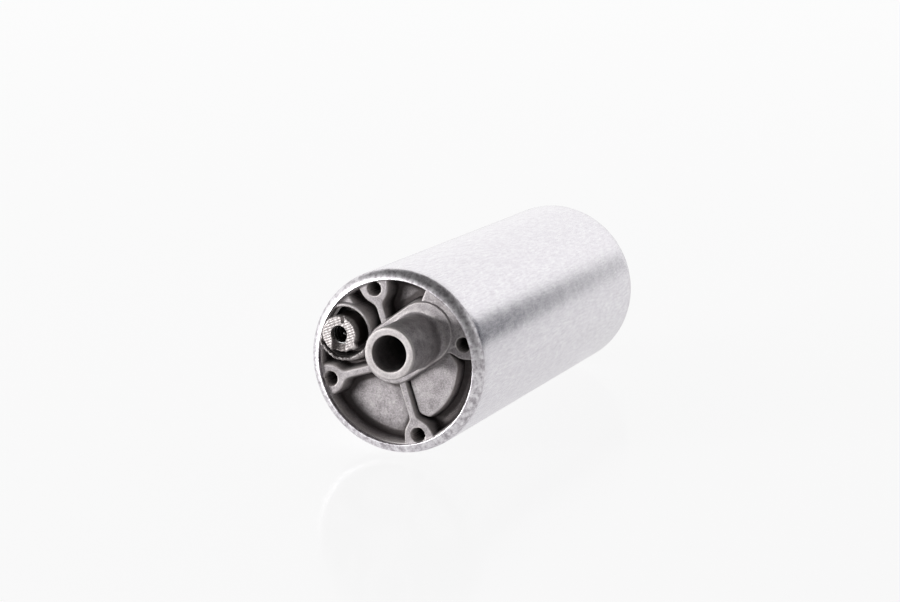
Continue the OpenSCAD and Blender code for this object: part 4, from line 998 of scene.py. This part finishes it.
class PUMP_OT_stage(bpy.types.Operator):
    """White floor, soft light and the camera"""

    bl_idname = "fuel_pump.stage"
    bl_label = "Stage"

    def execute(self, context):
        make_floor(context.scene.fuel_pump_colours)
        make_world(context.scene)
        make_light()
        make_camera(context.scene)
        context.scene.view_settings.view_transform = "Standard"
        return {"FINISHED"}


FLOOR_Z = CAN_LOW[2]
FLOOR_REACH = 3000.0
# How brightly the floor glows for the camera, and how much of that glow the pump's metal mirrors
FLOOR_GLOW = 0.88
MIRRORED_GLOW = 0.7


def make_floor(colours):
    """A flat floor just under the can: gloss white enamel, mirroring softly, with a glow that keeps it pale."""
    reach = FLOOR_REACH
    corners = [(-reach, -reach, FLOOR_Z), (reach, -reach, FLOOR_Z), (reach, reach, FLOOR_Z), (-reach, reach, FLOOR_Z)]
    mesh = bpy.data.meshes.new("floor")
    mesh.from_pydata([[value * MM for value in corner] for corner in corners], [], [(0, 1, 2, 3)])
    made, tree = blank("gloss_white_floor")
    gloss = node(tree, "ShaderNodeBsdfPrincipled", {"Base Color": colours.floor, "Roughness": 0.12, "IOR": 1.45})
    glow = node(tree, "ShaderNodeEmission", {"Color": "#ffffff", "Strength": 1.0})
    camera = node(tree, "ShaderNodeLightPath", out="Is Camera Ray")
    mirror = node(tree, "ShaderNodeLightPath", out="Is Glossy Ray")
    mirror = node(tree, "ShaderNodeMath", {0: mirror, 1: MIRRORED_GLOW}, operation="MULTIPLY")
    seen = node(tree, "ShaderNodeMath", {0: camera, 1: mirror}, operation="MAXIMUM")
    seen = node(tree, "ShaderNodeMath", {0: seen, 1: FLOOR_GLOW}, operation="MULTIPLY")
    mixed = node(tree, "ShaderNodeMixShader", {"Fac": seen, 1: gloss, 2: glow})
    node(tree, "ShaderNodeOutputMaterial", {"Surface": mixed})
    mesh.materials.append(made)
    floor = bpy.data.objects.new("floor", mesh)
    bpy.context.scene.collection.objects.link(floor)


def make_world(scene):
    """A pale studio: white to the camera, bright round the horizon, dim overhead, on the right and low in front.

    A grey flag behind it on the right is what the can's side mirrors as a dark wedge.
    """
    world = bpy.data.worlds.new("studio")
    world.use_nodes = True
    scene.world = world
    tree = world.node_tree
    tree.nodes.clear()
    direction = node(tree, "ShaderNodeTexCoord", out="Generated")

    def towards(azimuth, elevation, start, end, low, high):
        """A value that goes from low to high as a direction comes from start to end degrees off the given one."""
        az, el = math.radians(azimuth), math.radians(elevation)
        aim = (math.sin(az) * math.cos(el), math.cos(az) * math.cos(el), math.sin(el))
        facing = node(tree, "ShaderNodeVectorMath", {0: direction, 1: aim}, out="Value", operation="DOT_PRODUCT")
        return node(tree, "ShaderNodeMapRange", {
            "Value": facing, "From Min": math.cos(math.radians(start)), "From Max": math.cos(math.radians(end)),
            "To Min": low, "To Max": high}, interpolation_type="SMOOTHSTEP")

    overhead = towards(0, 90, 62, 38, 1.0, 0.16)
    right = towards(112, 0, 62, 30, 1.0, 0.42)
    front = towards(165, 10, 75, 30, 1.0, 0.34)
    flag = towards(36.6, 8, 15.5, 13.3, 0.0, 1.0)
    level = node(tree, "ShaderNodeMath", {0: overhead, 1: right}, operation="MULTIPLY")
    level = node(tree, "ShaderNodeMath", {0: level, 1: front}, operation="MULTIPLY")
    white = node(tree, "ShaderNodeCombineColor", {0: level, 1: level, 2: level})
    shade = node(tree, "ShaderNodeMix", {0: flag, 6: white, 7: "#2b2f3d"}, out=2, data_type="RGBA")
    camera = node(tree, "ShaderNodeLightPath", out="Is Camera Ray")
    seen = node(tree, "ShaderNodeMix", {0: camera, 6: shade, 7: "#ffffff"}, out=2, data_type="RGBA")
    background = node(tree, "ShaderNodeBackground", {"Color": seen, "Strength": 1.0})
    node(tree, "ShaderNodeOutputWorld", {"Surface": background})


def aimed(name, data, place, ahead):
    """Puts a lamp or camera in the scene at a place in metres, looking along a direction."""
    made = bpy.data.objects.new(name, data)
    made.location = place
    made.rotation_mode = "QUATERNION"
    made.rotation_quaternion = Vector(ahead).to_track_quat("-Z", "Y")
    bpy.context.scene.collection.objects.link(made)
    return made


def make_light():
    """One soft box, low in front of the pump on its left, turned to a point just in front of its middle."""
    lamp = bpy.data.lights.new("front_left", "AREA")
    lamp.shape = "RECTANGLE"
    lamp.size, lamp.size_y = 0.3, 0.14
    lamp.energy = 4.4
    place, aim = np.array((-0.5, -0.55, 0.05)), np.array((0, -0.05, 0))
    aimed("front_left", lamp, place, aim - place)


# The camera that fits the photograph: where it stands in metres, its direction from the pump in degrees, its focal
# length in pixels and the photograph's width in them
CAMERA_AT = (0.20788, -0.50688, 0.11306)
CAMERA_AZIMUTH, CAMERA_ELEVATION = 23.16, 11.19
FOCAL_PX, PHOTO_PX = 2241.8, 900
SENSOR_MM = 36.0


def make_camera(scene):
    """The camera at the photograph's angle, worked out from the rim, the holes and the can's outline."""
    azimuth, elevation = math.radians(CAMERA_AZIMUTH), math.radians(CAMERA_ELEVATION)
    ahead = (-math.sin(azimuth) * math.cos(elevation), math.cos(azimuth) * math.cos(elevation), -math.sin(elevation))
    data = bpy.data.cameras.new("camera")
    data.sensor_width = SENSOR_MM
    data.lens = FOCAL_PX / PHOTO_PX * SENSOR_MM
    data.clip_start, data.clip_end = 0.01, 20
    scene.camera = aimed("camera", data, CAMERA_AT, ahead)


class PUMP_PT_panel(bpy.types.Panel):
    """Lists the pump's pieces"""

    bl_idname = "PUMP_PT_panel"
    bl_label = "Fuel Pump"
    bl_space_type = "VIEW_3D"
    bl_region_type = "UI"
    bl_category = "Fuel Pump"

    def draw(self, context):
        for step in STEPS:
            self.layout.operator(step.bl_idname)
        for group in (context.scene.fuel_pump_sizes, context.scene.fuel_pump_colours):
            for name in group.__annotations__:
                self.layout.prop(group, name)


STEPS = (PUMP_OT_stage, PUMP_OT_inner, PUMP_OT_can, PUMP_OT_cover, PUMP_OT_relief, PUMP_OT_terminals)
CLASSES = (PumpSizes, PumpColours, *STEPS, PUMP_PT_panel)


def register():
    """Registers the classes, and hangs the sizes and colours on the scene."""
    for made in CLASSES:
        bpy.utils.register_class(made)
    bpy.types.Scene.fuel_pump_sizes = bpy.props.PointerProperty(type=PumpSizes)
    bpy.types.Scene.fuel_pump_colours = bpy.props.PointerProperty(type=PumpColours)


def unregister():
    """Takes the sizes and colours off the scene, and the classes away."""
    del bpy.types.Scene.fuel_pump_colours
    del bpy.types.Scene.fuel_pump_sizes
    for made in reversed(CLASSES):
        bpy.utils.unregister_class(made)


def main():
    """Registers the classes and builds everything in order."""
    register()
    bpy.ops.fuel_pump.stage()
    bpy.ops.fuel_pump.inner()
    bpy.ops.fuel_pump.can()
    bpy.ops.fuel_pump.cover()
    bpy.ops.fuel_pump.relief()
    bpy.ops.fuel_pump.terminals()


if __name__ == "__main__":
    main()
